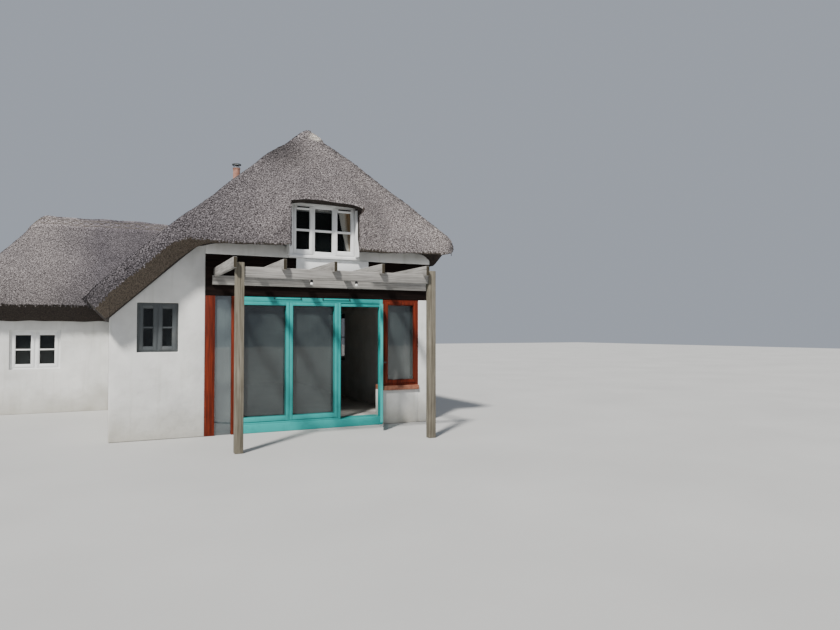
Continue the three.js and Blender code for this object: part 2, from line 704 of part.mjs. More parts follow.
function curtain() {
  const { x0, x1, y, top, bottom, fold } = CURTAIN;
  return boxGeometry(x0, x1, y - fold, y + fold, bottom, top);
}

// Assembly

const cottage = new THREE.Group();

function place(name, body, material, parent = cottage) {
  const geometry = body.isBufferGeometry ? body : geometryOf(body);
  const mesh = new THREE.Mesh(geometry, material);
  mesh.name = name;
  parent.add(mesh);
}

place('ground_floor', groundFloor(), CONCRETE);
place('upper_floor', upperFloor(), FLOOR_BOARDS);

place('front_wall_left', frontWallLeft(), RENDER_WHITE);
place('gable_panel', gablePanel(), RENDER_WHITE);
place('head_beam', boxGeometry(
  TIMBER_LEFT.x0, HALF_WIDTH, FRONT, INNER_FRONT, DOOR_HEAD_TOP + TOUCH, HEAD_BEAM_TOP,
), DARK_STAIN);
place('front_pier', boxGeometry(
  SIDE_WINDOW.x1 + TOUCH, HALF_WIDTH, FRONT, INNER_FRONT, 0, DOOR_HEAD_TOP,
), RENDER_WHITE);
place('dwarf_wall', boxGeometry(
  SIDE_WINDOW.x0 + TOUCH, SIDE_WINDOW.x1 - TOUCH, FRONT, INNER_FRONT, 0, DWARF_WALL_TOP,
), RENDER_WHITE);
place('window_sill', boxGeometry(
  SIDE_WINDOW.x0 + TOUCH, SIDE_WINDOW.x1 - TOUCH, FRONT - 40, INNER_FRONT,
  DWARF_WALL_TOP + TOUCH, SIDE_WINDOW.z0 - TOUCH,
), TILE_RED);
place('left_wall', leftWall(), RENDER_WHITE);
place('right_wall', rightWall(), RENDER_WHITE);
place('rear_wall', rearWall(), RENDER_WHITE);
place('range_walls', rangeWalls(), RENDER_WHITE);

place('timber_post_left', boxGeometry(
  TIMBER_LEFT.x0, TIMBER_LEFT.x1, FRONT, INNER_FRONT, 0, DOOR_HEAD_TOP,
), RED_STAIN);
place('timber_post_middle', boxGeometry(
  TIMBER_MIDDLE.x0, TIMBER_MIDDLE.x1, FRONT, FRONT + 150, 0, DOOR_HEAD_TOP,
), RED_STAIN);
place('sidelight_glass', boxGeometry(
  TIMBER_LEFT.x1 + TOUCH, TIMBER_MIDDLE.x0 - TOUCH, FRONT + 40, FRONT + 40 + PANE,
  0, DOOR_HEAD_TOP,
), GLASS);

place('side_window_frame', windowFrame(SIDE_WINDOW, FRONT + 10, FRONT + 80, 1, 55, 0), RED_STAIN);
place('side_window_glass', windowGlass(SIDE_WINDOW, FRONT + 80), GLASS);
place('small_window_frame', windowFrame(SMALL_WINDOW, FRONT + 60, FRONT + 120, 2, 45, 45), DARK_FRAME);
place('small_window_glass', windowGlass(SMALL_WINDOW, FRONT + 120), GLASS);
place('rear_window_frame', windowFrame(
  REAR_WINDOW, HALF_DEPTH - 120, HALF_DEPTH - 60, 2, WINDOW_EDGE, 60,
), WHITE_PAINT);
place('rear_window_glass', windowGlass(REAR_WINDOW, HALF_DEPTH - 120 - PANE - TOUCH), GLASS);
place('range_window_frame', windowFrame(
  RANGE_WINDOW, RANGE.y0 + 60, RANGE.y0 + 120, 2, WINDOW_EDGE, 60,
), WHITE_PAINT);
place('range_window_glass', windowGlass(RANGE_WINDOW, RANGE.y0 + 120), GLASS);
const rightWindow = rightWindowParts();
place('right_window_frame', rightWindow.frame, WHITE_PAINT);
place('right_window_glass', rightWindow.glass, GLASS);

place('door_threshold', boxGeometry(
  TIMBER_MIDDLE.x1 + TOUCH, SIDE_WINDOW.x0 - TOUCH, FRONT, INNER_FRONT, 0, FLOOR_TOP,
), TEAL_PAINT);
place('door_frame', doorFrame(), TEAL_PAINT);
place('door_glass', boxGeometry(
  LIGHTS[0].x0 - 30, LIGHTS[1].x1 + 30,
  FRONT + DOOR_FRAME_DEPTH + TOUCH, FRONT + DOOR_FRAME_DEPTH + PANE,
  FLOOR_TOP + TOUCH, DOOR_HEAD_TOP - 80,
), GLASS);
HINGE_LEVELS.forEach((level, i) => {
  place(['door_hinge_lower', 'door_hinge_upper'][i], doorHinge(level), BLACK_IRON);
});

const leaf = new THREE.Group();
leaf.position.set(HINGE_X, hingeY, 0);
leaf.rotation.z = LEAF_OPEN_AT_REST;
cottage.add(leaf);
place('door_leaf', doorLeaf(), TEAL_PAINT, leaf);
place('door_leaf_glass', doorLeafGlass(), GLASS, leaf);
place('door_handle', doorHandle(), BLACK_IRON, leaf);

place('thatch_front_hip', frontHip(), STRAW);
place('thatch_left_slope', leftSlope(), STRAW);
place('thatch_right_slope', rightSlope(), STRAW);
place('thatch_rear_hip', rearHip(), STRAW);
place('thatch_ridge', ridgeCap(), STRAW);
place('range_thatch', rangeThatch(), STRAW);

place('dormer_surround', dormerSurround(), WHITE_PAINT);
place('dormer_window', dormerWindow(), WHITE_PAINT);
place('dormer_glass', windowGlass(DORMER, FRONT + 65), GLASS);
place('dormer_sill', boxGeometry(
  DORMER.x0 - 70, DORMER.x1 + 70, FRONT - 70, FRONT - TOUCH, HEAD_BEAM_TOP + 5, DORMER_BASE_Z + 10,
), WHITE_PAINT);
place('apron_board', boxGeometry(
  APRON.x0, APRON.x1, FRONT - 30, FRONT - TOUCH, APRON.z0, HEAD_BEAM_TOP,
), WHITE_PAINT);
place('curtain_pole', curtainPole(), STEEL);
place('curtain', curtain(), CLOTH);

place('pergola_post_left', post(PERGOLA_SPAN.x0 - POST_SIDE), WEATHERED_OAK);
place('pergola_post_right', post(PERGOLA_SPAN.x1), WEATHERED_OAK);
place('pergola_beam', pergolaBeam(beamFront, beamBack, PERGOLA_SPAN.x0, PERGOLA_SPAN.x1), WEATHERED_OAK);
place('pergola_ledger', pergolaBeam(
  ledgerFront, FRONT - TOUCH, FIRST_RAFTER_X - RAFTER.thickness, LEDGER_END_X,
), WEATHERED_OAK);
RAFTERS_X.forEach((x, i) => place(`pergola_rafter_${i + 1}`, rafter(x), WEATHERED_OAK));
[-60, 630].forEach((x, i) => place(['pergola_lamp_left', 'pergola_lamp_right'][i], lamp(x), BLACK_IRON));

place('chimney_stack', chimneyStack(), RENDER_WHITE);
place('chimney_pot', chimneyPot(), CLAY);
place('chimney_cowl', chimneyCowl(), STEEL);

export default cottage;
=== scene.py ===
# %% [markdown]
# # A thatched cottage around its timber and straw frame
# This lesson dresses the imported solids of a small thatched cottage. The solids give every size and
# every joint. Here the straw gets its rolled edges and its cut ends, the joinery its sashes and
# beads, the timber its grain, and the whole gets a camera, a floor and light.

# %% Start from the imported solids
import json
import math

import bmesh
import bpy
import numpy as np
from mathutils import Matrix, Vector


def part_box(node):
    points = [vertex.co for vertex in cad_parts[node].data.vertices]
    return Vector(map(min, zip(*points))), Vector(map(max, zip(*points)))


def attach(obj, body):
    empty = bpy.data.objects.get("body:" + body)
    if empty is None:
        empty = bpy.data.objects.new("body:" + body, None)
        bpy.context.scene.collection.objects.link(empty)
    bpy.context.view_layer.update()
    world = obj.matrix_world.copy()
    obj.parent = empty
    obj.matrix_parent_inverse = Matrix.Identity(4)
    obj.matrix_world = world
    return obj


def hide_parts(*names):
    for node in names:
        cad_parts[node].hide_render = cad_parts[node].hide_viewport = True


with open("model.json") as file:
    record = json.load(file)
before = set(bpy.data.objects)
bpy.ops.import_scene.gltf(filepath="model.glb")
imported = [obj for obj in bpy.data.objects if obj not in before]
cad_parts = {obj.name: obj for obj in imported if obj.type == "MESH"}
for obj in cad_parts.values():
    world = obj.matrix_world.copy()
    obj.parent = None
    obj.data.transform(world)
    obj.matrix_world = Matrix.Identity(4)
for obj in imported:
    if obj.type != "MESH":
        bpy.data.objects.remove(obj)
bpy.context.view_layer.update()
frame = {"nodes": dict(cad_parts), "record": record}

NODES = frame["nodes"]
HOUSE = "cottage"
DOOR = "door"

# %% [markdown]
# ## Where the eye stands
# The garden side was seen from the left, with the eye a little above a seated person and the view
# turned 26 degrees to the right. A camera could be aimed at a target object, but a plain turn in
# degrees is easier to repeat, so the place, the turn and the lens are written as numbers.

# %% Camera
EYE = (-2.72, -15.0, 1.68)
TURN_RIGHT = 26.0
LOOK_UP = 1.43
SENSOR_WIDTH = 36.0
FOCAL_IN_IMAGE_WIDTHS = 640 / 840

camera_data = bpy.data.cameras.new("garden_view")
camera_data.sensor_width = SENSOR_WIDTH
camera_data.lens = SENSOR_WIDTH * FOCAL_IN_IMAGE_WIDTHS
camera_data.clip_end = 300
camera = bpy.data.objects.new("garden_view", camera_data)
camera.location = EYE
camera.rotation_euler = (math.radians(90 + LOOK_UP), 0, math.radians(-TURN_RIGHT))
bpy.context.collection.objects.link(camera)
bpy.context.scene.camera = camera
print("lens in mm:", round(camera_data.lens, 2))

# %% [markdown]
# ## Light and floor
# One broad, soft key stands high at the front left, as the sun did over the garden, so that the
# brow shades the upper half of its window. The pale surroundings fill the shadows. A sun lamp with
# a wide angle was chosen over an area lamp because its shadows keep one direction over a whole house.

# %% Key light, surroundings and floor
KEY_HEIGHT = 50.0
KEY_LEFT_OF_FRONT = 45.0
KEY_STRENGTH = 6.2
KEY_SOFTNESS = 6.0
SKY_COLOUR = (0.80, 0.87, 1.0, 1)
SKY_STRENGTH = 0.45
FLOOR_HALF = 60.0
FLOOR_DROP = 0.002

key_data = bpy.data.lights.new("key", "SUN")
key_data.energy = KEY_STRENGTH
key_data.angle = math.radians(KEY_SOFTNESS)
key_data.color = (1.0, 0.97, 0.92)
key = bpy.data.objects.new("key", key_data)
key.rotation_euler = (math.radians(90 - KEY_HEIGHT), 0, math.radians(-KEY_LEFT_OF_FRONT))
bpy.context.collection.objects.link(key)

world = bpy.data.worlds.new("pale_studio")
world.use_nodes = True
world.node_tree.nodes["Background"].inputs["Color"].default_value = SKY_COLOUR
world.node_tree.nodes["Background"].inputs["Strength"].default_value = SKY_STRENGTH
bpy.context.scene.world = world

# %% [markdown]
# ## Writing finishes as sums
# A finish is a small network of nodes. Wiring each one by hand is long and hard to read, so one
# class wraps a socket and lets sums be written with the usual signs, and one method adds any node.

# %% A socket that can be added and multiplied
FINISHES = {}


class Value:
    """One output socket of a finish, with which sums are written."""

    def __init__(self, finish, socket):
        self.finish = finish
        self.socket = socket

    def sum_with(self, operation, other):
        return self.finish.node("ShaderNodeMath", {"operation": operation}, {0: self, 1: other})

    def __add__(self, other):
        return self.sum_with("ADD", other)

    def __mul__(self, other):
        return self.sum_with("MULTIPLY", other)


class Finish:
    """A named material with one Principled shader, built node by node and kept in FINISHES."""

    def __init__(self, name, **constants):
        material = bpy.data.materials.new(name)
        material.use_nodes = True
        FINISHES[name] = material
        self.tree = material.node_tree
        self.shader = self.tree.nodes["Principled BSDF"]
        for socket, value in constants.items():
            self.shader.inputs[socket.replace("_", " ")].default_value = value
        place = self.tree.nodes.new("ShaderNodeTexCoord")
        self.place = Value(self, place.outputs["Object"])
        self.uv = Value(self, place.outputs["UV"])

    def node(self, kind, settings=None, sockets=None, out=0):
        """Adds a node: its settings first, then each socket's value or link."""
        node = self.tree.nodes.new(kind)
        for name, value in (settings or {}).items():
            if name == "stops":
                self.set_stops(node.color_ramp, value)
            else:
                setattr(node, name, value)
        for name, value in (sockets or {}).items():
            if isinstance(value, Value):
                self.tree.links.new(value.socket, node.inputs[name])
            else:
                node.inputs[name].default_value = value
        return Value(self, node.outputs[out])

    @staticmethod
    def set_stops(ramp, stops):
        """Gives a colour ramp its stops, each a place from 0 to 1 and a colour."""
        while len(ramp.elements) > 1:
            ramp.elements.remove(ramp.elements[-1])
        ramp.elements[0].position = stops[0][0]
        ramp.elements[0].color = stops[0][1]
        for position, colour in stops[1:]:
            ramp.elements.new(position).color = colour

    def noise(self, scale, detail, source=None, roughness=0.55):
        """Soft noise; a higher scale makes it finer."""
        return self.node("ShaderNodeTexNoise", None, {
            "Vector": source or self.place, "Scale": scale, "Detail": detail, "Roughness": roughness,
        })

    def streaks(self, stretch, detail, source=None, roughness=0.55, scale=1.0):
        """Noise on coordinates stretched along each axis, so that it runs along the grain."""
        along = self.node("ShaderNodeMapping", None, {"Vector": source or self.place, "Scale": stretch})
        return self.noise(scale, detail, along, roughness)

    def ramp(self, value, *stops):
        """Colours between stops, each a place from 0 to 1 and a colour."""
        return self.node("ShaderNodeValToRGB", {"stops": stops}, {"Fac": value})

    def levels(self, value, low, high, to_low=0.0, to_high=1.0):
        """Stretches the values between low and high over a new span, and clamps the rest."""
        return self.node("ShaderNodeMapRange", None, {
            "Value": value, "From Min": low, "From Max": high, "To Min": to_low, "To Max": to_high,
        })

    def mix(self, share, first, second, blend="MIX"):
        """Blends two colours by a share from 0 to 1."""
        settings = {"data_type": "RGBA", "blend_type": blend, "clamp_factor": True}
        return self.node("ShaderNodeMix", settings, {0: share, 6: first, 7: second}, out=2)

    def shaded(self, share, colour, shade):
        """The colour, multiplied by a shade where the share is 1."""
        return self.mix(share, colour, self.mix(1.0, colour, shade, "MULTIPLY"))

    def axis(self, name, source=None):
        """One coordinate of the place or of another source: X, Y or Z."""
        return self.node("ShaderNodeSeparateXYZ", None, {0: source or self.place}, out="XYZ".index(name))

    def paint(self, **links):
        """Links what varies to the shader, such as Base_Color or Roughness."""
        for socket, value in links.items():
            self.tree.links.new(value.socket, self.shader.inputs[socket.replace("_", " ")])

    def bump(self, height, strength, distance):
        """Raises the surface in its shading only, by a distance in metres."""
        relief = self.node("ShaderNodeBump", None, {
            "Height": height, "Strength": strength, "Distance": distance,
        })
        self.paint(Normal=relief)


def rgb(red, green, blue):
    """A colour in linear light."""
    return (red, green, blue, 1.0)

# %% [markdown]
# ## Straw
# Water reed and wheat straw weather to a speckled grey-brown: each cut end is a pale dot beside a
# dark hollow, whose dark is painted shade, and the roof is painted darker towards its left, a painted
# shade for the way the light falls across it. A picture could show this, but a fine noise for the
# ends, a slow one for the weather and a drift along the house give it at any distance.

# %% Weathered straw, its underside, and newer ridge straw
SPECKLE_SIZE = 50.0
# STRAW_HOLLOW_SHADE is painted shade in the hollows between the cut ends.
STRAW_HOLLOW_SHADE = rgb(0.030, 0.025, 0.025)
STRAW_DARK = rgb(0.110, 0.094, 0.094)
STRAW_LIGHT = rgb(0.320, 0.286, 0.282)
STRAW_TIP = rgb(0.560, 0.515, 0.500)
# Painted shade: the straw is made darker towards the roof's left, standing in for the way the light falls
# across it.
LEFTWARD_PAINTED_SHADE = rgb(0.42, 0.42, 0.47)
PAINTED_SHADE_FROM_X, PAINTED_SHADE_TO_X = 2.4, -2.0
LOW_SHADE = rgb(0.66, 0.66, 0.66)
LOW_FROM_Z, LOW_TO_Z = 3.0, 2.15
DARK_PATCH, DARK_PATCH_SHADE = (0.00, -3.72, 4.80), rgb(0.50, 0.49, 0.49)
PALE_PATCH, PALE_PATCH_COLOURS = (0.74, -3.46, 5.30), (rgb(0.10, 0.08, 0.06), rgb(0.66, 0.62, 0.56))


def spot(finish, centre, inner, outer):
    """A share that is 1 near a point of the roof and fades to 0."""
    away = finish.node("ShaderNodeVectorMath", {"operation": "DISTANCE"},
                       {0: finish.place, 1: centre}, out=1)
    return finish.levels(away + finish.noise(7.0, 3.0) * 0.3, outer + 0.15, inner + 0.15)


def straw_finish(name, brightness=1.0, pale_patch=False):
    """Speckled cut ends under slow patches of weather, with painted shade in the hollows and towards the
    roof's left, and darker low down.
    """
    finish = Finish(name, Roughness=0.9)
    ends = finish.noise(SPECKLE_SIZE, 2.5, roughness=0.7)
    weather = finish.noise(1.3, 4.0)
    speckle = finish.ramp(ends, (0.35, STRAW_HOLLOW_SHADE), (0.45, STRAW_DARK), (0.55, STRAW_LIGHT),
                          (0.66, STRAW_TIP))
    low, high = 0.80 * brightness, 1.08 * brightness
    patches = finish.ramp(weather, (0.30, rgb(low, low, low * 1.01)), (0.70, rgb(high, high, high * 0.98)))
    colour = finish.mix(1.0, speckle, patches, "MULTIPLY")
    across = finish.axis("X")
    # Painted shade towards the roof's left, weaker over the range.
    leftward_shade = finish.levels(across, PAINTED_SHADE_FROM_X, PAINTED_SHADE_TO_X) * finish.levels(across, -3.9, -2.9, 0.35, 1.0)
    colour = finish.shaded(leftward_shade, colour, LEFTWARD_PAINTED_SHADE)
    colour = finish.shaded(finish.levels(finish.axis("Z"), LOW_FROM_Z, LOW_TO_Z), colour, LOW_SHADE)
    colour = finish.shaded(spot(finish, DARK_PATCH, 0.15, 0.65), colour, DARK_PATCH_SHADE)
    if pale_patch:
        pale = finish.mix(finish.levels(ends, 0.36, 0.50), *PALE_PATCH_COLOURS)
        colour = finish.mix(spot(finish, PALE_PATCH, 0.05, 0.19), colour, pale)
    finish.paint(Base_Color=colour)
    finish.bump(ends + finish.noise(120.0, 2.0) * 0.4, 0.9, 0.012)


straw_finish("straw")
straw_finish("ridge_straw", 1.10, pale_patch=True)
straw_finish("range_ridge_straw", 1.38)


def straw_underside_finish(name, gap_shade, stalk):
    """Upright stalks with dark gaps between them, the gaps' dark being painted shade."""
    finish = Finish(name, Roughness=0.95)
    stalks = finish.streaks((60, 60, 9), 3.0)
    finish.paint(Base_Color=finish.ramp(stalks, (0.32, gap_shade), (0.68, stalk)))
    finish.bump(stalks, 1.0, 0.015)


# straw_underside is painted near black: painted shade on the coat's underside, and on the brow's lip and
# the straw under its tip, which stay dark even in the key light.
straw_underside_finish("straw_underside", rgb(0.008, 0.006, 0.005), rgb(0.042, 0.031, 0.025))
straw_underside_finish("cut_straw", rgb(0.040, 0.030, 0.022), rgb(0.170, 0.136, 0.106))

# %% [markdown]
# ## Lime render and paint
# The walls are brushed white over uneven render. The brush leaves a soft relief, rain splash browns
# the foot of the wall, and thin dirt runs down from the eaves.

# %% White render and painted joinery
SPLASH_TOP = 0.55


def render_finish():
    """Brushed white over uneven render, with rain splash at the foot and thin runs of dirt."""
    finish = Finish("white_render")
    height = finish.axis("Z")
    cloud = finish.noise(2.2, 5.0)
    splash = finish.levels(height + cloud * 0.5, SPLASH_TOP + 0.25, 0.15)
    runs = finish.streaks((9, 9, 0.7), 4.0)
    base = finish.ramp(cloud, (0.3, rgb(0.60, 0.60, 0.58)), (0.65, rgb(0.75, 0.75, 0.73)))
    streaked = finish.mix(finish.levels(runs, 0.56, 0.78, 0, 0.35), base, rgb(0.42, 0.42, 0.36))
    colour = finish.mix(splash * 0.55, streaked, rgb(0.30, 0.27, 0.19))
    finish.paint(Base_Color=colour, Roughness=finish.levels(cloud, 0.3, 0.7, 0.78, 0.95))
    finish.bump(finish.noise(9.0, 6.0) + finish.noise(70.0, 3.0) * 0.25, 0.55, 0.012)


def gloss_paint(name, colour, worn, roughness):
    """Brush paint on joinery: faint brush lines, a little grime, wear where the noise is high."""
    finish = Finish(name, Coat_Roughness=0.25, Coat_Weight=0.08, Specular_IOR_Level=0.35)
    brush = finish.streaks((90, 90, 6), 3.0)
    grime = finish.noise(6.0, 5.0)
    finish.paint(Base_Color=finish.mix(finish.levels(grime, 0.52, 0.75, 0, 0.45), colour, worn),
                 Roughness=finish.levels(grime, 0.3, 0.7, roughness, roughness + 0.22))
    finish.bump(brush, 0.22, 0.002)


render_finish()
gloss_paint("white_paint", rgb(0.86, 0.87, 0.87), rgb(0.58, 0.58, 0.54), 0.30)
gloss_paint("teal_paint", rgb(0.022, 0.330, 0.315), rgb(0.016, 0.19, 0.175), 0.34)
gloss_paint("dark_frame", rgb(0.085, 0.095, 0.10), rgb(0.16, 0.16, 0.15), 0.40)

# %% [markdown]
# ## Timber
# Three timbers show: silver-grey unpainted oak on the pergola, red-brown stain on the posts and a
# nearly black beam. Grain is a noise drawn out along the piece, so one function takes the direction
# in which the grain runs and the colours between which it moves.

# %% Timber finishes
GRAIN_ACROSS = 55.0
GRAIN_ALONG = 2.2


def timber(name, grain_axis, dark, mid, light, roughness=0.8, gleam=0.4):
    """Wood whose grain is a noise drawn out along one axis."""
    finish = Finish(name, Specular_IOR_Level=gleam)
    stretch = [GRAIN_ACROSS] * 3
    stretch["XYZ".index(grain_axis)] = GRAIN_ALONG
    lines = finish.streaks(stretch, 5.0, roughness=0.62)
    grain = finish.ramp(lines, (0.30, dark), (0.50, mid), (0.72, light))
    aged = finish.ramp(finish.noise(2.4, 4.0), (0.30, rgb(0.78, 0.77, 0.75)), (0.70, rgb(1.08, 1.07, 1.05)))
    finish.paint(Base_Color=finish.mix(1.0, grain, aged, "MULTIPLY"),
                 Roughness=finish.levels(lines, 0.3, 0.7, roughness + 0.12, roughness - 0.08))
    finish.bump(lines, 0.6, 0.004)


OAK = rgb(0.16, 0.154, 0.148), rgb(0.30, 0.29, 0.278), rgb(0.43, 0.42, 0.40)
POST_OAK = rgb(0.085, 0.074, 0.054), rgb(0.162, 0.146, 0.112), rgb(0.245, 0.222, 0.18)
# End grain is darker than the sides, and the rest of this dark is painted shade.
END_GRAIN_AND_SHADE = rgb(0.018, 0.014, 0.008), rgb(0.036, 0.029, 0.017), rgb(0.062, 0.051, 0.032)
RED_STAIN = rgb(0.036, 0.006, 0.002), rgb(0.122, 0.014, 0.004), rgb(0.235, 0.032, 0.009)
BLACK_STAIN = rgb(0.004, 0.0024, 0.002), rgb(0.009, 0.005, 0.004), rgb(0.020, 0.011, 0.009)
PINE = rgb(0.22, 0.13, 0.07), rgb(0.36, 0.24, 0.14), rgb(0.48, 0.34, 0.21)

timber("oak_X", "X", *OAK)
timber("oak_Y", "Y", *OAK)
timber("oak_Z", "Z", *POST_OAK)
timber("end_grain_and_shade", "Z", *END_GRAIN_AND_SHADE, roughness=0.85)
timber("red_stain", "Z", *RED_STAIN, roughness=0.6, gleam=0.2)
timber("black_stain", "X", *BLACK_STAIN, gleam=0.12)
timber("floor_boards", "Y", *PINE, roughness=0.6)
timber("hazel", "Y", rgb(0.06, 0.049, 0.041), rgb(0.135, 0.117, 0.099), rgb(0.22, 0.195, 0.17))

# %% [markdown]
# ## Clay, metal, concrete, cloth and glass
# The small finishes follow. Panes are nearly black outside by day, because the rooms behind are
# dark, so the glass is a dark gloss that lets part of the room through.

# %% Small finishes
def mottled(name, first, second, scale, roughness, relief, **constants):
    """A finish that wanders between two colours, with a fine relief."""
    finish = Finish(name, **constants)
    cloud = finish.noise(scale, 5.0)
    finish.paint(Base_Color=finish.ramp(cloud, (0.32, first), (0.68, second)),
                 Roughness=finish.levels(cloud, 0.3, 0.7, roughness, roughness + 0.15))
    finish.bump(finish.noise(scale * 9, 4.0), 0.5, relief)


mottled("clay", rgb(0.27, 0.125, 0.085), rgb(0.43, 0.235, 0.175), 9.0, 0.75, 0.003)
mottled("mortar", rgb(0.34, 0.33, 0.30), rgb(0.50, 0.49, 0.46), 12.0, 0.85, 0.004)
mottled("sill_tile", rgb(0.22, 0.075, 0.04), rgb(0.42, 0.17, 0.10), 14.0, 0.6, 0.003)
mottled("concrete", rgb(0.30, 0.29, 0.27), rgb(0.46, 0.45, 0.42), 3.0, 0.8, 0.004)
mottled("steel", rgb(0.42, 0.43, 0.44), rgb(0.66, 0.67, 0.68), 22.0, 0.22, 0.0006, Metallic=1.0)
mottled("black_iron", rgb(0.012, 0.012, 0.013), rgb(0.035, 0.034, 0.034), 40.0, 0.40, 0.0006)
mottled("rubber", rgb(0.010, 0.010, 0.010), rgb(0.022, 0.022, 0.022), 60.0, 0.6, 0.0004)
mottled("lead", rgb(0.17, 0.18, 0.19), rgb(0.34, 0.35, 0.36), 8.0, 0.5, 0.002, Metallic=0.35)
mottled("bulb", rgb(0.82, 0.82, 0.78), rgb(0.90, 0.90, 0.88), 30.0, 0.15, 0.0002)
mottled("stage_floor", rgb(0.43, 0.43, 0.42), rgb(0.47, 0.47, 0.46), 0.4, 0.8, 0.0005)


def glass_finish(name, show_through, gleam, painted_reflection=1.0):
    """Dark gloss that lets a share of the room show and mirrors the sky; painted_reflection makes its
    colour paler, a painted reflection of the sky.
    """
    finish = Finish(name, Roughness=0.03, Alpha=1 - show_through, IOR=gleam)
    waver = finish.noise(1.8, 2.0)
    deep = rgb(0.006 * painted_reflection, 0.008 * painted_reflection, 0.009 * painted_reflection)
    clear = rgb(0.018 * painted_reflection, 0.023 * painted_reflection, 0.023 * painted_reflection)
    finish.paint(Base_Color=finish.ramp(waver, (0.3, deep), (0.7, clear)))
    finish.bump(waver, 0.12, 0.004)


def curtain_finish():
    """Cream cloth with a tan band along its drawn edge, woven on the cloth's own coordinates."""
    finish = Finish("curtain_cloth", Roughness=0.92, Sheen_Weight=0.2)
    weave = finish.node("ShaderNodeTexChecker", None, {"Vector": finish.uv, "Scale": 420.0}, out=1)
    slub = finish.streaks((1, 6, 1), 3.0, finish.uv, scale=30.0)
    across = finish.axis("X", finish.uv)
    cream = finish.ramp(slub, (0.3, rgb(0.80, 0.78, 0.70)), (0.65, rgb(0.93, 0.92, 0.86)))
    tan = finish.ramp(slub, (0.3, rgb(0.46, 0.31, 0.16)), (0.65, rgb(0.70, 0.53, 0.32)))
    finish.paint(Base_Color=finish.mix(finish.levels(across, 0.18, 0.30), cream, tan))
    finish.bump(weave * 0.5 + slub, 0.3, 0.0015)


glass_finish("window_glass", 0.50, 1.5)
glass_finish("dormer_glass", 0.82, 1.35)
# The sidelight, door and side window panes are painted paler, a painted reflection of the sky.
glass_finish("sidelight_glass", 0.30, 2.4, painted_reflection=9.0)
glass_finish("door_glass", 0.45, 1.9, painted_reflection=4.0)
glass_finish("side_window_glass", 0.45, 1.9, painted_reflection=4.0)
curtain_finish()
print("finishes:", len(FINISHES))

# %% [markdown]
# ## A pale floor
# The floor is only a stage. It is a wide, level sheet just under the walls.

# %% Floor
floor_mesh = bpy.data.meshes.new("stage_floor")
corners = [(x * FLOOR_HALF, y * FLOOR_HALF, -FLOOR_DROP) for x, y in ((-1, -1), (1, -1), (1, 1), (-1, 1))]
floor_mesh.from_pydata(corners, [], [(0, 1, 2, 3)])
floor_mesh.materials.append(FINISHES["stage_floor"])
floor = bpy.data.objects.new("stage_floor", floor_mesh)
bpy.context.collection.objects.link(floor)

# %% [markdown]
# ## Helpers for finished pieces
# Every piece ends the same way: its mesh is plain, its finish is set, and it is told which body it
# rides on and which solids it stands for. One function does that.

# %% Finishing a piece
SMOOTH_ANGLE, BEVEL_ANGLE, FLAT_ANGLE = math.radians(38), math.radians(40), math.radians(1)
WELD_DISTANCE = 1e-5
SLOT_OF = {sub["node"]: sub["material_slot"] for sub in frame["record"]["subparts"]}


def settle(piece):
    """Turns a piece and its modifiers into one plain mesh."""
    graph = bpy.context.evaluated_depsgraph_get()
    mesh = bpy.data.meshes.new_from_object(piece.evaluated_get(graph))
    mesh.name = piece.name
    piece.modifiers.clear()
    piece.data = mesh


def shade(mesh):
    """Smooth shading with sharp edges where faces turn more than the angle."""
    mesh.polygons.foreach_set("use_smooth", [True] * len(mesh.polygons))
    mesh.set_sharp_from_angle(angle=SMOOTH_ANGLE)


def hand_over(piece, body=HOUSE, stands_for=()):
    """Rides a finished piece on its body and hides the solids it stands for."""
    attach(piece, body)
    if stands_for:
        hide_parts(*stands_for)
    print(piece.name, "triangles:", sum(len(p.vertices) - 2 for p in piece.data.polygons))


def piece_from_bmesh(name, shape, finish, bevel=0.0, segments=2):
    """A new object from a bmesh, with its edges rounded and its finish set."""
    mesh = bpy.data.meshes.new(name)
    shape.to_mesh(mesh)
    shape.free()
    piece = bpy.data.objects.new(name, mesh)
    bpy.context.collection.objects.link(piece)
    mesh.materials.append(FINISHES[finish])
    if bevel:
        rounding = piece.modifiers.new("rounding", "BEVEL")
        rounding.width = bevel
        rounding.segments = segments
        rounding.limit_method = "ANGLE"
        rounding.angle_limit = BEVEL_ANGLE
        settle(piece)
    shade(piece.data)
    return piece


def add_bar(shape, low, high):
    """Adds one upright box between two corners to a bmesh."""
    corner = [shape.verts.new((x, y, z)) for x in (low[0], high[0])
              for y in (low[1], high[1]) for z in (low[2], high[2])]
    for face in ((0, 1, 3, 2), (4, 6, 7, 5), (0, 4, 5, 1), (2, 3, 7, 6), (0, 2, 6, 4), (1, 5, 7, 3)):
        shape.faces.new([corner[i] for i in face])


def bars(name, boxes, finish, body=HOUSE, stands_for=(), bevel=0.003, turn=None):
    """One piece from several bars, turned by a matrix if one is given. Its slot is its finish's name."""
    shape = bmesh.new()
    for low, high in boxes:
        add_bar(shape, low, high)
    if turn:
        bmesh.ops.transform(shape, matrix=turn, verts=shape.verts)
    piece = piece_from_bmesh(name, shape, finish, bevel)
    hand_over(piece, body, stands_for)


def softened(node, finish, bevel, segments=2):
    """A copy of a solid with its flat faces joined again and its arrises rounded."""
    shape = bmesh.new()
    shape.from_mesh(NODES[node].data)
    bmesh.ops.remove_doubles(shape, verts=shape.verts, dist=WELD_DISTANCE)
    bmesh.ops.dissolve_limit(shape, angle_limit=FLAT_ANGLE, verts=shape.verts, edges=shape.edges)
    piece = piece_from_bmesh(f"{node}_finished", shape, finish, bevel, segments)
    hand_over(piece, stands_for=(node,))

# %% [markdown]
# ## The straw coat as one formula
# On the real roof the thatcher fixes bundles of straw course by course and beats them into smooth
# planes that roll over at the eaves and swell over the window. Carving such a form is slow. It
# follows a rule, so the outside is a height above each point of the plan: the lowest of the roof
# planes with rounded meetings, lifted over the dormer and rolled down at every edge. The underside
# is a second height, and the two are sewn together along the eaves. Two plan lines that are meant to
# be one are told apart from others by a hair, which is a millionth of a metre.

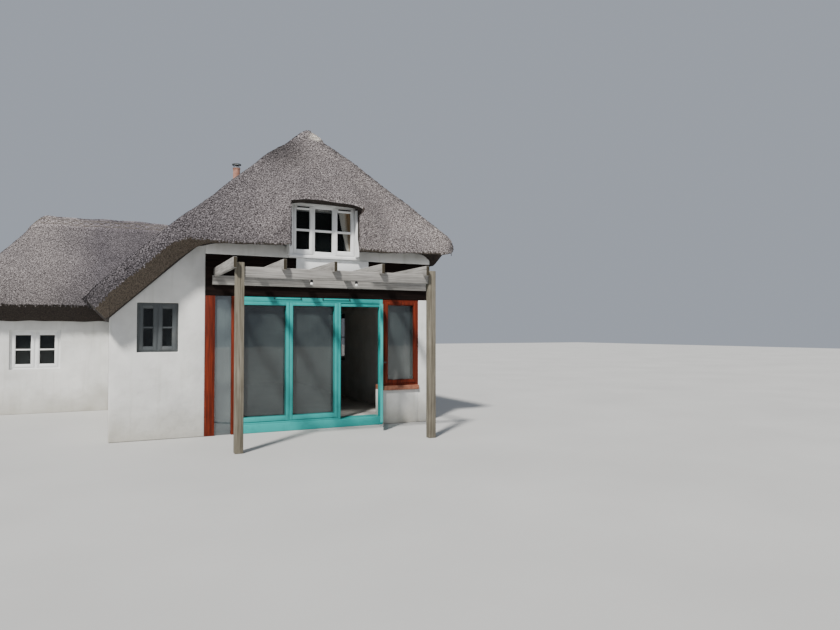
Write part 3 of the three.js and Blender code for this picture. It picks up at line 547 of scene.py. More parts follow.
# %% Roof sizes and planes
HALF_WIDTH, HALF_DEPTH = 2.70, 4.30
RIDGE_X, RIDGE_Z = 0.62, 5.41
LEFT_EAVE_X, LEFT_EAVE_Z = -3.03, 2.20
BREAK_X, BREAK_Z = -1.20, 3.905
RIGHT_EAVE_X, RIGHT_EAVE_Z = 3.10, 3.26
HIP_EAVE_Y, HIP_EAVE_Z, HIP_TOP_Y = 4.72, 3.25, 3.37
THICKNESS = 0.46
EAVE_NOSE = 0.03
SOFFIT_Z = 3.11
VERGE_FACE = 0.26
EDGE_ROLL, VERGE_ROLL = 0.13, 0.09
EDGE_LIP = 0.02
RIDGE_SOFTNESS, HIP_SOFTNESS, BREAK_SOFTNESS = 0.04, 0.07, 0.012
SOFFIT_SOFTNESS, VALLEY_SOFTNESS, RANGE_SOFTNESS = 0.20, 0.16, 0.18
SIDE_BOW, HIP_BOW, BOW_LEAN = 0.045, 0.068, 0.8
HAIR = 1e-6
LEAST_WEIGHT, ALL_INSIDE, FAR_BELOW = 1e-9, 0.9999, -9.0

LEFT_PITCH = (BREAK_Z - LEFT_EAVE_Z) / (BREAK_X - LEFT_EAVE_X)
UPPER_PITCH = (RIDGE_Z - BREAK_Z) / (RIDGE_X - BREAK_X)
RIGHT_PITCH = (RIDGE_Z - RIGHT_EAVE_Z) / (RIGHT_EAVE_X - RIDGE_X)
HIP_PITCH = (RIDGE_Z - HIP_EAVE_Z) / (HIP_EAVE_Y - HIP_TOP_Y)

RANGE_X0, RANGE_Y0, RANGE_Y1 = -5.30, 0.20, 4.20
RANGE_OVERHANG = 0.35
RANGE_RIDGE_Y, RANGE_RIDGE_Z = 2.20, 4.35
RANGE_RIDGE_DROP, RANGE_RIDGE_REACH = 0.02, 0.12
RANGE_PITCH, RANGE_HIP_PITCH = 0.90, 1.35
RANGE_END_X = RANGE_X0 - RANGE_OVERHANG
RANGE_FRONT_Y = RANGE_Y0 - RANGE_OVERHANG
RANGE_REAR_Y = RANGE_Y1 + RANGE_OVERHANG
RANGE_EAVE_Z = RANGE_RIDGE_Z - RANGE_PITCH * (RANGE_RIDGE_Y - RANGE_FRONT_Y)


def upright_thickness(pitch):
    """The straw's thickness measured straight up through a slope."""
    return THICKNESS * math.hypot(1, pitch)


def lower_of(first, second, reach):
    """The lower of two heights, rounded over a reach where they meet."""
    share = np.clip(0.5 + 0.5 * (second - first) / reach, 0, 1)
    return second + (first - second) * share - reach * share * (1 - share)


def higher_of(first, second, reach):
    """The higher of two heights, rounded in the same way."""
    return -lower_of(-first, -second, reach)


def ease(t):
    """A soft step from 0 to 1."""
    t = np.clip(t, 0, 1)
    return t * t * (3 - 2 * t)


def left_plane(x):
    """Height of the left slope below its break, where it is a little steeper."""
    return LEFT_EAVE_Z + LEFT_PITCH * (x - LEFT_EAVE_X)


def upper_plane(x):
    """Height of the left slope between its break and the ridge."""
    return BREAK_Z + UPPER_PITCH * (x - BREAK_X)


def right_plane(x):
    """Height of the right slope."""
    return RIGHT_EAVE_Z + RIGHT_PITCH * (RIGHT_EAVE_X - x)


def hip_plane(y):
    """Height of the front and the rear hip."""
    return HIP_EAVE_Z + HIP_PITCH * (HIP_EAVE_Y - np.abs(y))


def bow(value, first, last):
    """A swelling of about 1 between two places, nearer to the first, and 0 at both."""
    t = np.clip((value - first) / (last - first), 0, 1) ** BOW_LEAN
    return 4 * t * (1 - t)


def bowed_sides(x):
    """Height of the long slopes, which swell a little between ridge and eave."""
    left = lower_of(left_plane(x) + SIDE_BOW * 0.5 * bow(x, LEFT_EAVE_X, BREAK_X),
                    upper_plane(x) + SIDE_BOW * bow(x, RIDGE_X, BREAK_X), BREAK_SOFTNESS)
    right = right_plane(x) + SIDE_BOW * bow(x, RIDGE_X, RIGHT_EAVE_X)
    return lower_of(left, right, RIDGE_SOFTNESS)


def bowed_hip(y):
    """Height of the hips, which swell a little too."""
    return hip_plane(y) + HIP_BOW * bow(np.abs(y), HIP_TOP_Y, HIP_EAVE_Y)


# %% [markdown]
# ### The brow over the window
# The straw lifts over the dormer like an eyelid. It starts high on the hip, comes forward at a
# flatter pitch and ends in a lip whose lower edge droops at both ends, a little more on the right.
# There the lip ends in a tip that overhangs the straw beside the window, so that straw is drawn
# aside and hollowed out in front of the tip.

# %% Brow
DORMER_X0, DORMER_X1 = -0.020, 1.218
BROW_CENTRE, BROW_FLAT_HALF, BROW_FADE = 0.62, 0.45, 0.75
BROW_BACK_Y, BROW_LIP_Y = -3.74, -4.60
BROW_PITCH, BROW_START_SOFTNESS, BROW_SIDE_Y = 1.067, 0.03, -3.0
LIP_Z, LIP_CENTRE, LIP_HALF = 3.813, 0.60, 0.65
LEFT_DROOP, RIGHT_DROOP = 0.03, 0.05
REVEAL_HEAD_Z = 3.888
LIP_ROLL = 0.06
LIP_FACE, LIP_UNDERCUT, UNDERCUT_REACH = 0.05, 0.05, 0.15
REVEAL_REACH = 0.24
LID_END, LID_REACH, LID_DEPTH, CHEEK_SHIFT = 0.035, 0.45, 0.045, 0.045
HOLLOW_X, HOLLOW_Z, HOLLOW_RISE, TIP_REACH = 1.183, 3.683, 0.88, 0.045
CHEEK_RADIUS = 0.06


def brow_lift(x, y):
    """How far the brow stands above the hip."""
    forward = BROW_BACK_Y - np.maximum(y, BROW_LIP_Y)
    rise = 0.5 * (forward + np.sqrt(forward * forward + BROW_START_SOFTNESS))
    fade = 1 - ease((np.abs(x - BROW_CENTRE) - BROW_FLAT_HALF) / BROW_FADE)
    return (HIP_PITCH - BROW_PITCH) * rise * fade * (y < BROW_SIDE_Y)


def lip_edge(x):
    """Height of the lip's lower edge."""
    t = (x - LIP_CENTRE) / LIP_HALF
    return LIP_Z - np.where(t > 0, RIGHT_DROOP * t ** 6, LEFT_DROOP * t ** 2)


# %% [markdown]
# ### Outside and underside heights
# Beaten straw is never quite flat, so a few slow waves with fixed directions move the surface by a
# centimetre or two. Each edge rolls over along a quarter of an ellipse down to its arris.

# %% Heights
rng = np.random.default_rng(11)
WAVES = [(rng.uniform(0, math.tau), rng.uniform(0, math.tau), length)
         for length in (2.6, 1.9, 1.3, 0.9, 0.62, 0.45, 0.34, 0.27)]
WAVE_SHARE = 0.0052


def ripple(x, y):
    """Slow unevenness of the beaten surface."""
    height = 0.0
    for direction, phase, length in WAVES:
        across = x * math.cos(direction) + y * math.sin(direction)
        height = height + WAVE_SHARE * length ** 0.8 * np.sin(math.tau * across / length + phase)
    return height


def roll(distance, width):
    """From 0 at an edge to 1 inside it, along a quarter of an ellipse."""
    t = np.clip(distance / width, 0, 1)
    return np.sqrt(1 - (1 - t) ** 2)


def gable_cut(x, y):
    """Underside in front of and behind the walls: the slanted verge and the level soffit."""
    slant = (upright_thickness(LEFT_PITCH) + 0.02 - VERGE_FACE) / (HIP_EAVE_Y - HALF_DEPTH)
    verge = left_plane(x) - VERGE_FACE - slant * (HIP_EAVE_Y - np.abs(y))
    return lower_of(verge, SOFFIT_Z + 0 * x, SOFFIT_SOFTNESS)


def left_cut(x):
    """The cut face of the left eave, square to its slope."""
    return LEFT_EAVE_Z - EAVE_NOSE - (x - LEFT_EAVE_X) / LEFT_PITCH


def right_cut(x):
    """The cut face of the right eave, square to its slope."""
    return RIGHT_EAVE_Z - EAVE_NOSE - (RIGHT_EAVE_X - x) / RIGHT_PITCH


def main_outside(x, y, line_x, line_y, beside_range):
    """Outer height of the main roof; the plan lines tell how near an eave or a verge is."""
    top = lower_of(bowed_sides(x), bowed_hip(y), HIP_SOFTNESS) + brow_lift(x, y)
    left_roll = np.where(beside_range, 1.0, roll(line_x - LEFT_EAVE_X, EDGE_ROLL))
    right_roll = roll(RIGHT_EAVE_X - line_x, EDGE_ROLL)
    end_roll = roll(HIP_EAVE_Y - np.abs(line_y), VERGE_ROLL)
    gable_arris = np.maximum(gable_cut(x, HIP_EAVE_Y + 0 * y), np.maximum(left_cut(x), right_cut(x)))
    weights = [1 - left_roll, 1 - right_roll, 1 - end_roll]
    levels = [LEFT_EAVE_Z - EAVE_NOSE, RIGHT_EAVE_Z - EAVE_NOSE, gable_arris]
    arris = sum(w * z for w, z in zip(weights, levels)) / (sum(weights) + LEAST_WEIGHT)
    rolled = left_roll * right_roll * end_roll
    return np.where(rolled > ALL_INSIDE, top, arris + EDGE_LIP + (top - arris - EDGE_LIP) * rolled)


def range_outside(x, y):
    """Outer height of the side range's roof."""
    front = RANGE_RIDGE_Z - RANGE_PITCH * np.abs(y - RANGE_RIDGE_Y)
    end = RANGE_EAVE_Z + RANGE_HIP_PITCH * (x - RANGE_END_X)
    ridge_round = RANGE_RIDGE_DROP * np.exp(-((y - RANGE_RIDGE_Y) / RANGE_RIDGE_REACH) ** 2)
    top = lower_of(front - ridge_round, end, RANGE_SOFTNESS)
    rolled = roll(x - RANGE_END_X, EDGE_ROLL)
    rolled = rolled * roll(y - RANGE_FRONT_Y, EDGE_ROLL) * roll(RANGE_REAR_Y - y, EDGE_ROLL)
    arris = RANGE_EAVE_Z - EAVE_NOSE + EDGE_LIP
    return arris + (top - arris) * rolled


def in_range(x, y):
    """Whether a place lies under the roof of the range."""
    return (y > RANGE_FRONT_Y - HAIR) & (y < RANGE_REAR_Y + HAIR) & (x < RIDGE_X)


def straw_outside(x, y, line_x=None, line_y=None):
    """Outer height of the whole coat."""
    beside = in_range(x, y)
    line_x = x if line_x is None else line_x
    line_y = y if line_y is None else line_y
    main = main_outside(x, y, line_x, line_y, beside)
    both = higher_of(main, range_outside(x, y), VALLEY_SOFTNESS)
    return np.where(beside, both, main) + ripple(x, y)


def straw_underside(x, y):
    """Lower height of the whole coat."""
    loft = np.minimum.reduce([
        left_plane(x) - upright_thickness(LEFT_PITCH), upper_plane(x) - upright_thickness(UPPER_PITCH),
        right_plane(x) - upright_thickness(RIGHT_PITCH), hip_plane(y) - upright_thickness(HIP_PITCH),
    ])
    cut = np.maximum(left_cut(x), right_cut(x))
    cut = np.maximum(cut, np.where(np.abs(y) > HALF_DEPTH - HAIR, gable_cut(x, y), FAR_BELOW))
    main = np.maximum(loft, cut)
    slope = upright_thickness(RANGE_PITCH)
    range_loft = RANGE_RIDGE_Z - slope - RANGE_PITCH * np.abs(y - RANGE_RIDGE_Y)
    end_loft = RANGE_EAVE_Z + RANGE_HIP_PITCH * (x - RANGE_END_X) - upright_thickness(RANGE_HIP_PITCH)
    nose = RANGE_EAVE_Z - EAVE_NOSE
    eaves = [nose - (y - RANGE_FRONT_Y) / RANGE_PITCH, nose - (RANGE_REAR_Y - y) / RANGE_PITCH,
             nose - (x - RANGE_END_X) / RANGE_HIP_PITCH]
    side = np.maximum.reduce([np.minimum(range_loft, end_loft), *eaves])
    height = np.where(in_range(x, y) & (x < -HALF_WIDTH - HAIR), side, main)
    return height + ripple(x, y)


# %% [markdown]
# ### Sewing the coat
# The plan is divided by lines that crowd together at the rolled edges. Each crossing gets an outer
# and a lower point. Where the outline ends, a strip joins the two. Beside the window a pair of lines
# a few millimetres apart carries the upright cheeks, and the corners there are rounded in plan.

# %% Plan lines
STEP = 0.056
PAIR_GAP = 0.004
CORNER_RADIUS = 0.34
CUT_FACE_FROM_Y = 4.36
CROWDED = 0.007
LEAST_THICKNESS = 0.01


def roll_lines(start, direction, width, count=6):
    """Lines that crowd towards an edge, as equal turns of its rolled arc do."""
    turns = [math.pi / 2 * k / count for k in range(1, count + 1)]
    return [start + direction * width * (1 - math.cos(turn)) for turn in turns]


def plan_lines(hard, soft):
    """Every hard line, the soft ones that aren't crowded, and even steps between."""
    kept = list(hard)
    for value in soft:
        if min(abs(value - k) for k in kept) > CROWDED:
            kept.append(value)
    kept.sort()
    filled = []
    for a, b in zip(kept, kept[1:]):
        count = max(1, math.ceil((b - a) / STEP))
        filled.extend(a + (b - a) * i / count for i in range(count))
    return np.array(filled + [kept[-1]])


LINES_X = plan_lines(
    [RANGE_END_X, LEFT_EAVE_X, -HALF_WIDTH - PAIR_GAP, -HALF_WIDTH, HALF_WIDTH, RIGHT_EAVE_X,
     DORMER_X0 - PAIR_GAP, DORMER_X0, DORMER_X1, DORMER_X1 + PAIR_GAP],
    roll_lines(RANGE_END_X, 1, EDGE_ROLL) + roll_lines(LEFT_EAVE_X, 1, EDGE_ROLL)
    + roll_lines(RIGHT_EAVE_X, -1, EDGE_ROLL) + roll_lines(DORMER_X0 - PAIR_GAP, -1, CHEEK_RADIUS)
    + roll_lines(DORMER_X1 + PAIR_GAP, 1, CHEEK_RADIUS))
LINES_Y = plan_lines(
    [-HIP_EAVE_Y, BROW_LIP_Y, -HALF_DEPTH, RANGE_FRONT_Y, RANGE_REAR_Y, HALF_DEPTH, HIP_EAVE_Y],
    roll_lines(-HIP_EAVE_Y, 1, VERGE_ROLL) + roll_lines(HIP_EAVE_Y, -1, VERGE_ROLL)
    + roll_lines(BROW_LIP_Y, 1, LIP_ROLL, 4) + roll_lines(RANGE_FRONT_Y, 1, EDGE_ROLL)
    + roll_lines(RANGE_REAR_Y, -1, EDGE_ROLL))
print("plan lines:", len(LINES_X), "by", len(LINES_Y))

# %% Heights at every crossing


def in_notch(x, y):
    """Over the window, where only the brow covers the plan."""
    return (x > DORMER_X0 - HAIR) & (x < DORMER_X1 + HAIR) & (y < BROW_BACK_Y)


def rounded_cheek(x, y):
    """How far a point beside the window is drawn back, so that the straw's corner is round."""
    beside = np.minimum(np.abs(x - DORMER_X0 + PAIR_GAP), np.abs(x - DORMER_X1 - PAIR_GAP))
    outside = (x < DORMER_X0 - HAIR) | (x > DORMER_X1 + HAIR)
    reach = np.clip(CHEEK_RADIUS - beside, 0, CHEEK_RADIUS)
    back = CHEEK_RADIUS - np.sqrt(np.maximum(CHEEK_RADIUS ** 2 - reach ** 2, 0))
    return np.where(outside, back, 0.0) * ease((BROW_LIP_Y - y) / (HIP_EAVE_Y + BROW_LIP_Y))


def rounded_corners(x, y):
    """Moves plan points near the three free corners of the roof, so that each is a quarter round."""
    middle = (LEFT_EAVE_X + RIGHT_EAVE_X) / 2
    half = (RIGHT_EAVE_X - LEFT_EAVE_X) / 2
    free = (x > middle) | (y < 0)
    u = np.clip((np.abs(x - middle) - half + CORNER_RADIUS) / CORNER_RADIUS, 0, 1) * free
    v = np.clip((np.abs(y) - HIP_EAVE_Y + CORNER_RADIUS) / CORNER_RADIUS, 0, 1) * free
    in_x = CORNER_RADIUS * u * (1 - np.sqrt(1 - v * v / 2))
    in_y = CORNER_RADIUS * v * (1 - np.sqrt(1 - u * u / 2))
    return x - np.sign(x - middle) * in_x, y - np.sign(y) * in_y


def notch_heights(x, y):
    """Outer and lower heights of the brow where it hangs over the window."""
    edge = lip_edge(x) + ripple(x, y)
    behind = np.clip((y - BROW_LIP_Y) / REVEAL_REACH, 0, 1)
    lower = edge + (REVEAL_HEAD_Z - edge) * behind * (2 - behind)
    lower = np.maximum(lower, hip_plane(y) - upright_thickness(HIP_PITCH))
    top = bowed_hip(y) + brow_lift(x, y) + ripple(x, y)
    start = edge + LIP_FACE
    upper = start + (top - start) * roll(y - BROW_LIP_Y, LIP_ROLL)
    return upper, lower


def under_lid(x, y):
    """How far the straw beside the right cheek is drawn aside, so that the brow's end overhangs it."""
    near = np.clip(1 - np.abs(x - DORMER_X1) / LID_REACH, 0, 1)
    in_front = np.clip((BROW_LIP_Y - y) / LID_DEPTH, 0, 1)
    behind = np.clip((y - BROW_LIP_Y) / LID_DEPTH, 0, 1)
    return near * (LID_END * (1 - in_front - behind) - CHEEK_SHIFT * in_front)


GRID_X, GRID_Y = np.meshgrid(LINES_X, LINES_Y, indexing="ij")
PLAN_X, PLAN_Y = rounded_corners(GRID_X, GRID_Y)
PLAN_X = PLAN_X + under_lid(GRID_X, GRID_Y)
CHEEK_BACK = rounded_cheek(GRID_X, GRID_Y)
PLAN_Y = PLAN_Y + CHEEK_BACK


def undercut(x, y):
    """How far the lower skin is set back under the brow's lip."""
    share = np.clip(1 - (y - BROW_LIP_Y) / UNDERCUT_REACH, 0, 1)
    return LIP_UNDERCUT * share * (in_notch(x, y) & (y > BROW_LIP_Y - HAIR))


def hollow_under_tip(x, y, upper):
    """Cuts the straw beside the window down in front of the brow's right tip."""
    beside = GRID_X > DORMER_X1 + HAIR
    hollow = HOLLOW_Z + HOLLOW_RISE * (x - HOLLOW_X)
    upper = np.where(beside & (y < BROW_LIP_Y - HAIR), np.minimum(upper, hollow), upper)
    tip = lip_edge(DORMER_X1) + LIP_FACE + HOLLOW_RISE * (x - DORMER_X1)
    return np.where(beside & (np.abs(y - BROW_LIP_Y) < HAIR), np.minimum(upper, tip), upper)


def coat_heights():
    """Outer and lower heights on the drawn-back plan."""
    x, line_y, y = PLAN_X, GRID_Y, PLAN_Y
    upper = straw_outside(x, y, GRID_X, GRID_Y)
    lower = straw_underside(x, y)
    drawn_back = CHEEK_BACK > HAIR
    top = lower_of(bowed_sides(x), bowed_hip(y), HIP_SOFTNESS) + brow_lift(x, y) + ripple(x, y)
    arris = SOFFIT_Z + EDGE_LIP + ripple(x, y)
    cheek = arris + (top - arris) * roll(HIP_EAVE_Y - np.abs(line_y), VERGE_ROLL)
    upper = np.where(drawn_back, cheek, upper)
    lower = np.where(drawn_back & (np.abs(line_y) > HALF_DEPTH), SOFFIT_Z + ripple(x, y), lower)
    over_window = in_notch(GRID_X, line_y)
    brow_top, brow_under = notch_heights(x, line_y)
    upper = np.where(over_window, brow_top, hollow_under_tip(x, line_y, upper))
    lower = np.where(over_window, brow_under, lower)
    return upper, np.minimum(lower, upper - LEAST_THICKNESS)


UPPER, LOWER = coat_heights()
SKIN_POINTS = GRID_X.size

# %% Cells of the coat


def kept_cells():
    """Which cells of the plan the straw covers."""
    mid_x = (LINES_X[:-1] + LINES_X[1:]) / 2
    mid_y = (LINES_Y[:-1] + LINES_Y[1:]) / 2
    x, y = np.meshgrid(mid_x, mid_y, indexing="ij")
    on_main = x > LEFT_EAVE_X
    on_range = (y > RANGE_FRONT_Y) & (y < RANGE_REAR_Y)
    pair = PAIR_GAP + HAIR
    cut_away = (x > DORMER_X0 - pair) & (x < DORMER_X1 + pair) & (y < BROW_LIP_Y)
    return (on_main | on_range) & ~cut_away


def sewn_coat():
    """Vertices and faces of the coat: outer skin, underside and the strip between them."""
    index = np.arange(SKIN_POINTS).reshape(GRID_X.shape)
    under = index + SKIN_POINTS
    kept = kept_cells()
    faces, kinds = [], []
    for i, j in np.argwhere(kept):
        quad = [index[i, j], index[i + 1, j], index[i + 1, j + 1], index[i, j + 1]]
        faces.append(quad)
        faces.append([under[i, j], under[i, j + 1], under[i + 1, j + 1], under[i + 1, j]])
        cut_face = abs(LINES_Y[j] + LINES_Y[j + 1]) / 2 > CUT_FACE_FROM_Y
        upright_cheek = LINES_X[i + 1] - LINES_X[i] < PAIR_GAP + HAIR
        near_tip = DORMER_X1 - HAIR < LINES_X[i] < DORMER_X1 + TIP_REACH
        under_tip = near_tip and abs(LINES_Y[j + 1] - BROW_LIP_Y) < HAIR
        # The outer skin under the brow's right tip takes the near-black underside finish, a painted shade.
        kinds += [1 if under_tip else 0, 2 if cut_face and not upright_cheek else 1]
        for k, m, a, b in ((i, j - 1, 0, 1), (i + 1, j, 1, 2), (i, j + 1, 2, 3), (i - 1, j, 3, 0)):
            inside = 0 <= k < kept.shape[0] and 0 <= m < kept.shape[1] and kept[k, m]
            if not inside:
                faces.append([quad[b], quad[a], quad[a] + SKIN_POINTS, quad[b] + SKIN_POINTS])
                at_lip = abs(GRID_Y[i, j] - BROW_LIP_Y) < HAIR and b == 1
                # The lip's strip takes the near-black underside finish too, a painted shade.
                kinds.append(1 if at_lip else 0)
    points = np.concatenate([
        np.stack([PLAN_X, PLAN_Y, UPPER], -1).reshape(-1, 3),
        np.stack([PLAN_X, PLAN_Y + undercut(GRID_X, GRID_Y), LOWER], -1).reshape(-1, 3),
    ])
    return points, faces, kinds


def compact(points, faces):
    """Drops the points that no face uses, and tells which ones are left."""
    used = np.unique(np.concatenate([np.asarray(f) for f in faces]))
    place = np.full(len(points), -1)
    place[used] = np.arange(len(used))
    return points[used], [[int(place[v]) for v in f] for f in faces], used


def mesh_piece(name, points, faces, finishes, kinds=None):
    """An object from points and faces, with a finish for each kind of face."""
    mesh = bpy.data.meshes.new(name)
    mesh.from_pydata([tuple(p) for p in points], [], faces)
    for finish in finishes:
        mesh.materials.append(FINISHES[finish])
    if kinds:
        mesh.polygons.foreach_set("material_index", kinds)
    mesh.validate()
    piece = bpy.data.objects.new(name, mesh)
    bpy.context.collection.objects.link(piece)
    shade(mesh)
    return piece


coat_points, coat_faces, coat_kinds = sewn_coat()
coat_points, coat_faces, coat_used = compact(coat_points, coat_faces)
COAT_FINISHES = ["straw", "straw_underside", "cut_straw"]
straw_coat = mesh_piece("straw_coat", coat_points, coat_faces, COAT_FINISHES, coat_kinds)

# %% [markdown]
# ### Which part of the coat is which
# The cut ends are scattered slope by slope, so each outer point carries a mark for the slope that it
# lies on. The marks are numbers from 0 to 1 and later thin out the scatter.

# %% Marks for the slopes
HIP_MARGIN = 0.02


def mark(piece, name, values):
    """Stores one number for every point under a name."""
    piece.data.attributes.new(name, "FLOAT", "POINT").data.foreach_set("value", values.astype(np.float32))


def mark_slopes():
    """Marks every outer point with its slope, and returns the slopes' names."""
    x, y = coat_points[:, 0], coat_points[:, 1]
    line_x, line_y = (lines.ravel()[coat_used % SKIN_POINTS] for lines in (GRID_X, GRID_Y))
    on_lip = in_notch(line_x, line_y) & (line_y < BROW_LIP_Y + LIP_ROLL / 2)
    near_tip = (line_x > DORMER_X1 - HAIR) & (line_x < DORMER_X1 + TIP_REACH)
    at_tip = near_tip & (np.abs(line_y - BROW_LIP_Y) < LIP_ROLL / 2 + 0.001)
    outer = (coat_used < SKIN_POINTS) & ~on_lip & ~at_tip
    sides = np.minimum(np.minimum(left_plane(x), upper_plane(x)), right_plane(x))
    on_hip = hip_plane(y) < sides + HIP_MARGIN
    on_range = in_range(x, y) & (range_outside(x, y) > np.minimum(sides, hip_plane(y)))
    slopes = {
        "front": outer & ~on_range & on_hip & (y < 0),
        "rear": outer & ~on_range & on_hip & (y > 0),
        "left": outer & ~on_range & ~on_hip & (x < RIDGE_X),
        "right": outer & ~on_range & ~on_hip & (x >= RIDGE_X),
        "range": outer & on_range,
    }
    for slope, mask in slopes.items():
        mark(straw_coat, slope, mask.astype(float))
    return list(slopes)


SLOPES = mark_slopes()

# %% [markdown]
# ### Cut ends of the straw
# Seen close, a straw roof is a field of small bundles whose cut ends stand a few millimetres proud.
# Thousands of them repeat, so Geometry Nodes scatter one three-sided bundle over a slope, turn each
# one to lie down the slope, vary its size and realize them all.

# %% A tree that scatters straw ends


class Tree:
    """A Geometry Nodes tree under construction."""

    def __init__(self, name):
        self.tree = bpy.data.node_groups.new(name, "GeometryNodeTree")
        self.names = {}
        self.add_input("Surface", "NodeSocketGeometry")
        self.tree.interface.new_socket(name="Result", in_out="OUTPUT", socket_type="NodeSocketGeometry")
        self.entry = self.tree.nodes.new("NodeGroupInput")

    def add_input(self, name, kind, value=None):
        """Adds a named input to the tree."""
        socket = self.tree.interface.new_socket(name=name, in_out="INPUT", socket_type=kind)
        if value is not None:
            socket.default_value = value
        self.names[name] = socket.identifier

    def entry_socket(self, name):
        return next(s for s in self.entry.outputs if s.identifier == self.names[name])

    def node(self, kind, settings=None, sockets=None):
        node = self.tree.nodes.new(kind)
        for name, value in (settings or {}).items():
            setattr(node, name, value)
        for name, value in (sockets or {}).items():
            if isinstance(value, bpy.types.NodeSocket):
                self.tree.links.new(value, node.inputs[name])
            else:
                node.inputs[name].default_value = value
        return node

    def end(self, geometry, material):
        """Realizes the instances, sets the finish and links the result."""
        real = self.node("GeometryNodeRealizeInstances", None, {"Geometry": geometry})
        painted = self.node("GeometryNodeSetMaterial", None, {
            "Geometry": real.outputs[0], "Material": material,
        })
        out = self.tree.nodes.new("NodeGroupOutput")
        self.tree.links.new(painted.outputs[0], out.inputs[0])


def straw_end_tree():
    """Scatters pointed bundles of straw that lie down the slope with their cut ends raised."""
    t = Tree("straw_ends")
    t.add_input("Slope mark", "NodeSocketString", "front")
    t.add_input("Bundles per square metre", "NodeSocketFloat", 800.0)
    t.add_input("Length", "NodeSocketFloat", 0.06)
    t.add_input("Width", "NodeSocketFloat", 0.02)
    t.add_input("Seed", "NodeSocketInt", 1)
    t.add_input("Straw", "NodeSocketMaterial")
    slope = t.node("GeometryNodeInputNamedAttribute", {"data_type": "FLOAT"},
                   {"Name": t.entry_socket("Slope mark")})
    density = t.node("ShaderNodeMath", {"operation": "MULTIPLY"}, {
        0: slope.outputs["Attribute"], 1: t.entry_socket("Bundles per square metre"),
    })
    points = t.node("GeometryNodeDistributePointsOnFaces", {"distribute_method": "RANDOM"}, {
        "Mesh": t.entry_socket("Surface"), "Density": density.outputs[0], "Seed": t.entry_socket("Seed"),
    })
    bundle = t.node("GeometryNodeMeshCone", {"fill_type": "NGON"}, {
        "Vertices": 3, "Radius Bottom": 0.0, "Radius Top": t.entry_socket("Width"),
        "Depth": t.entry_socket("Length"),
    })
    laid = t.node("GeometryNodeTransform", None, {
        "Geometry": bundle.outputs["Mesh"], "Rotation": (0.0, math.radians(87), 0.0),
        "Scale": (0.62, 1.0, 1.0),
    })
    upright = t.node("FunctionNodeAlignRotationToVector", {"axis": "Z"}, {
        "Vector": points.outputs["Normal"],
    })
    downhill = t.node("FunctionNodeAlignRotationToVector", {"axis": "X", "pivot_axis": "Z"}, {
        "Rotation": upright.outputs[0], "Vector": (0.0, 0.0, -1.0),
    })
    swing = t.node("FunctionNodeRandomValue", {"data_type": "FLOAT_VECTOR"}, {
        0: (-0.12, -0.05, -0.30), 1: (0.12, 0.10, 0.30), "Seed": t.entry_socket("Seed"),
    })
    turn = t.node("FunctionNodeEulerToRotation", None, {0: swing.outputs[0]})
    turned = t.node("FunctionNodeRotateRotation", {"rotation_space": "LOCAL"}, {
        0: downhill.outputs[0], 1: turn.outputs[0],
    })
    size = t.node("FunctionNodeRandomValue", {"data_type": "FLOAT_VECTOR"}, {
        0: (0.6, 0.65, 0.7), 1: (1.3, 1.35, 1.45), "Seed": t.entry_socket("Seed"),
    })
    scattered = t.node("GeometryNodeInstanceOnPoints", None, {
        "Points": points.outputs["Points"], "Instance": laid.outputs[0],
        "Rotation": turned.outputs[0], "Scale": size.outputs[0],
    })
    t.end(scattered.outputs[0], t.entry_socket("Straw"))
    return t


STRAW_ENDS = straw_end_tree()


def grown(name, surface, tree, **inputs):
    """Runs a tree on a copy of a surface and keeps only the plain mesh that it makes."""
    piece = bpy.data.objects.new(name, surface.data.copy())
    bpy.context.collection.objects.link(piece)
    modifier = piece.modifiers.new("grow", "NODES")
    modifier.node_group = tree.tree
    for label, value in inputs.items():
        modifier[tree.names[label.replace("_", " ")]] = value
    settle(piece)
    return piece


# %% [markdown]
# The front slope is the one that is seen closest, so its bundles are the finest. The others are a
# little larger and fewer, which keeps every piece under its limit of triangles.

# %% Straw ends on every slope
QUICK_SHARE = 1.0
BUNDLES = {
    "front": (4200, 0.040, 0.0105), "left": (1400, 0.048, 0.0130), "right": (1150, 0.055, 0.0145),
    "rear": (1700, 0.050, 0.0130), "range": (1350, 0.050, 0.0130),
}
COAT_NODES = ("thatch_front_hip", "thatch_left_slope", "thatch_right_slope", "thatch_rear_hip",
              "range_thatch")

for seed, slope in enumerate(SLOPES):
    density, length, width = BUNDLES[slope]
    ends = grown(f"straw_ends_{slope}", straw_coat, STRAW_ENDS, Slope_mark=slope,
                 Bundles_per_square_metre=density * QUICK_SHARE, Length=length, Width=width,
                 Seed=seed + 3, Straw=FINISHES["straw"])
    hand_over(ends)
hand_over(straw_coat, stands_for=COAT_NODES)

# %% [markdown]
# ## Ridge
# The ridge gets a wrapped-over cap of newer, paler straw that ends in a point on each hip, and hazel
# rods hold it down. The cap could be cut from the roof's own mesh. A strip that follows the same
# height formula a few centimetres higher is simpler and always fits.

# %% Ridge caps
CAP_THICKNESS = 0.052
CAP_HALF_WIDTH = 0.48
CAP_TIP_Y, CAP_TIP_HALF, CAP_TAPER = -3.52, 0.17, 1.2
CAP_END_Y = 3.34
RANGE_CAP_HALF, RANGE_CAP_TIP_HALF = 0.36, 0.03
RANGE_CAP_X0, RANGE_CAP_X1 = -4.55, -0.75
CAP_SINK, CAP_RIM = 0.03, 0.05
CAP_EDGE = CAP_SINK * 0.2


def cap_half(y):
    """Half width of the main cap, which narrows towards its tip on the front hip."""
    return np.minimum(CAP_HALF_WIDTH, CAP_TIP_HALF + CAP_TAPER * (y - CAP_TIP_Y))


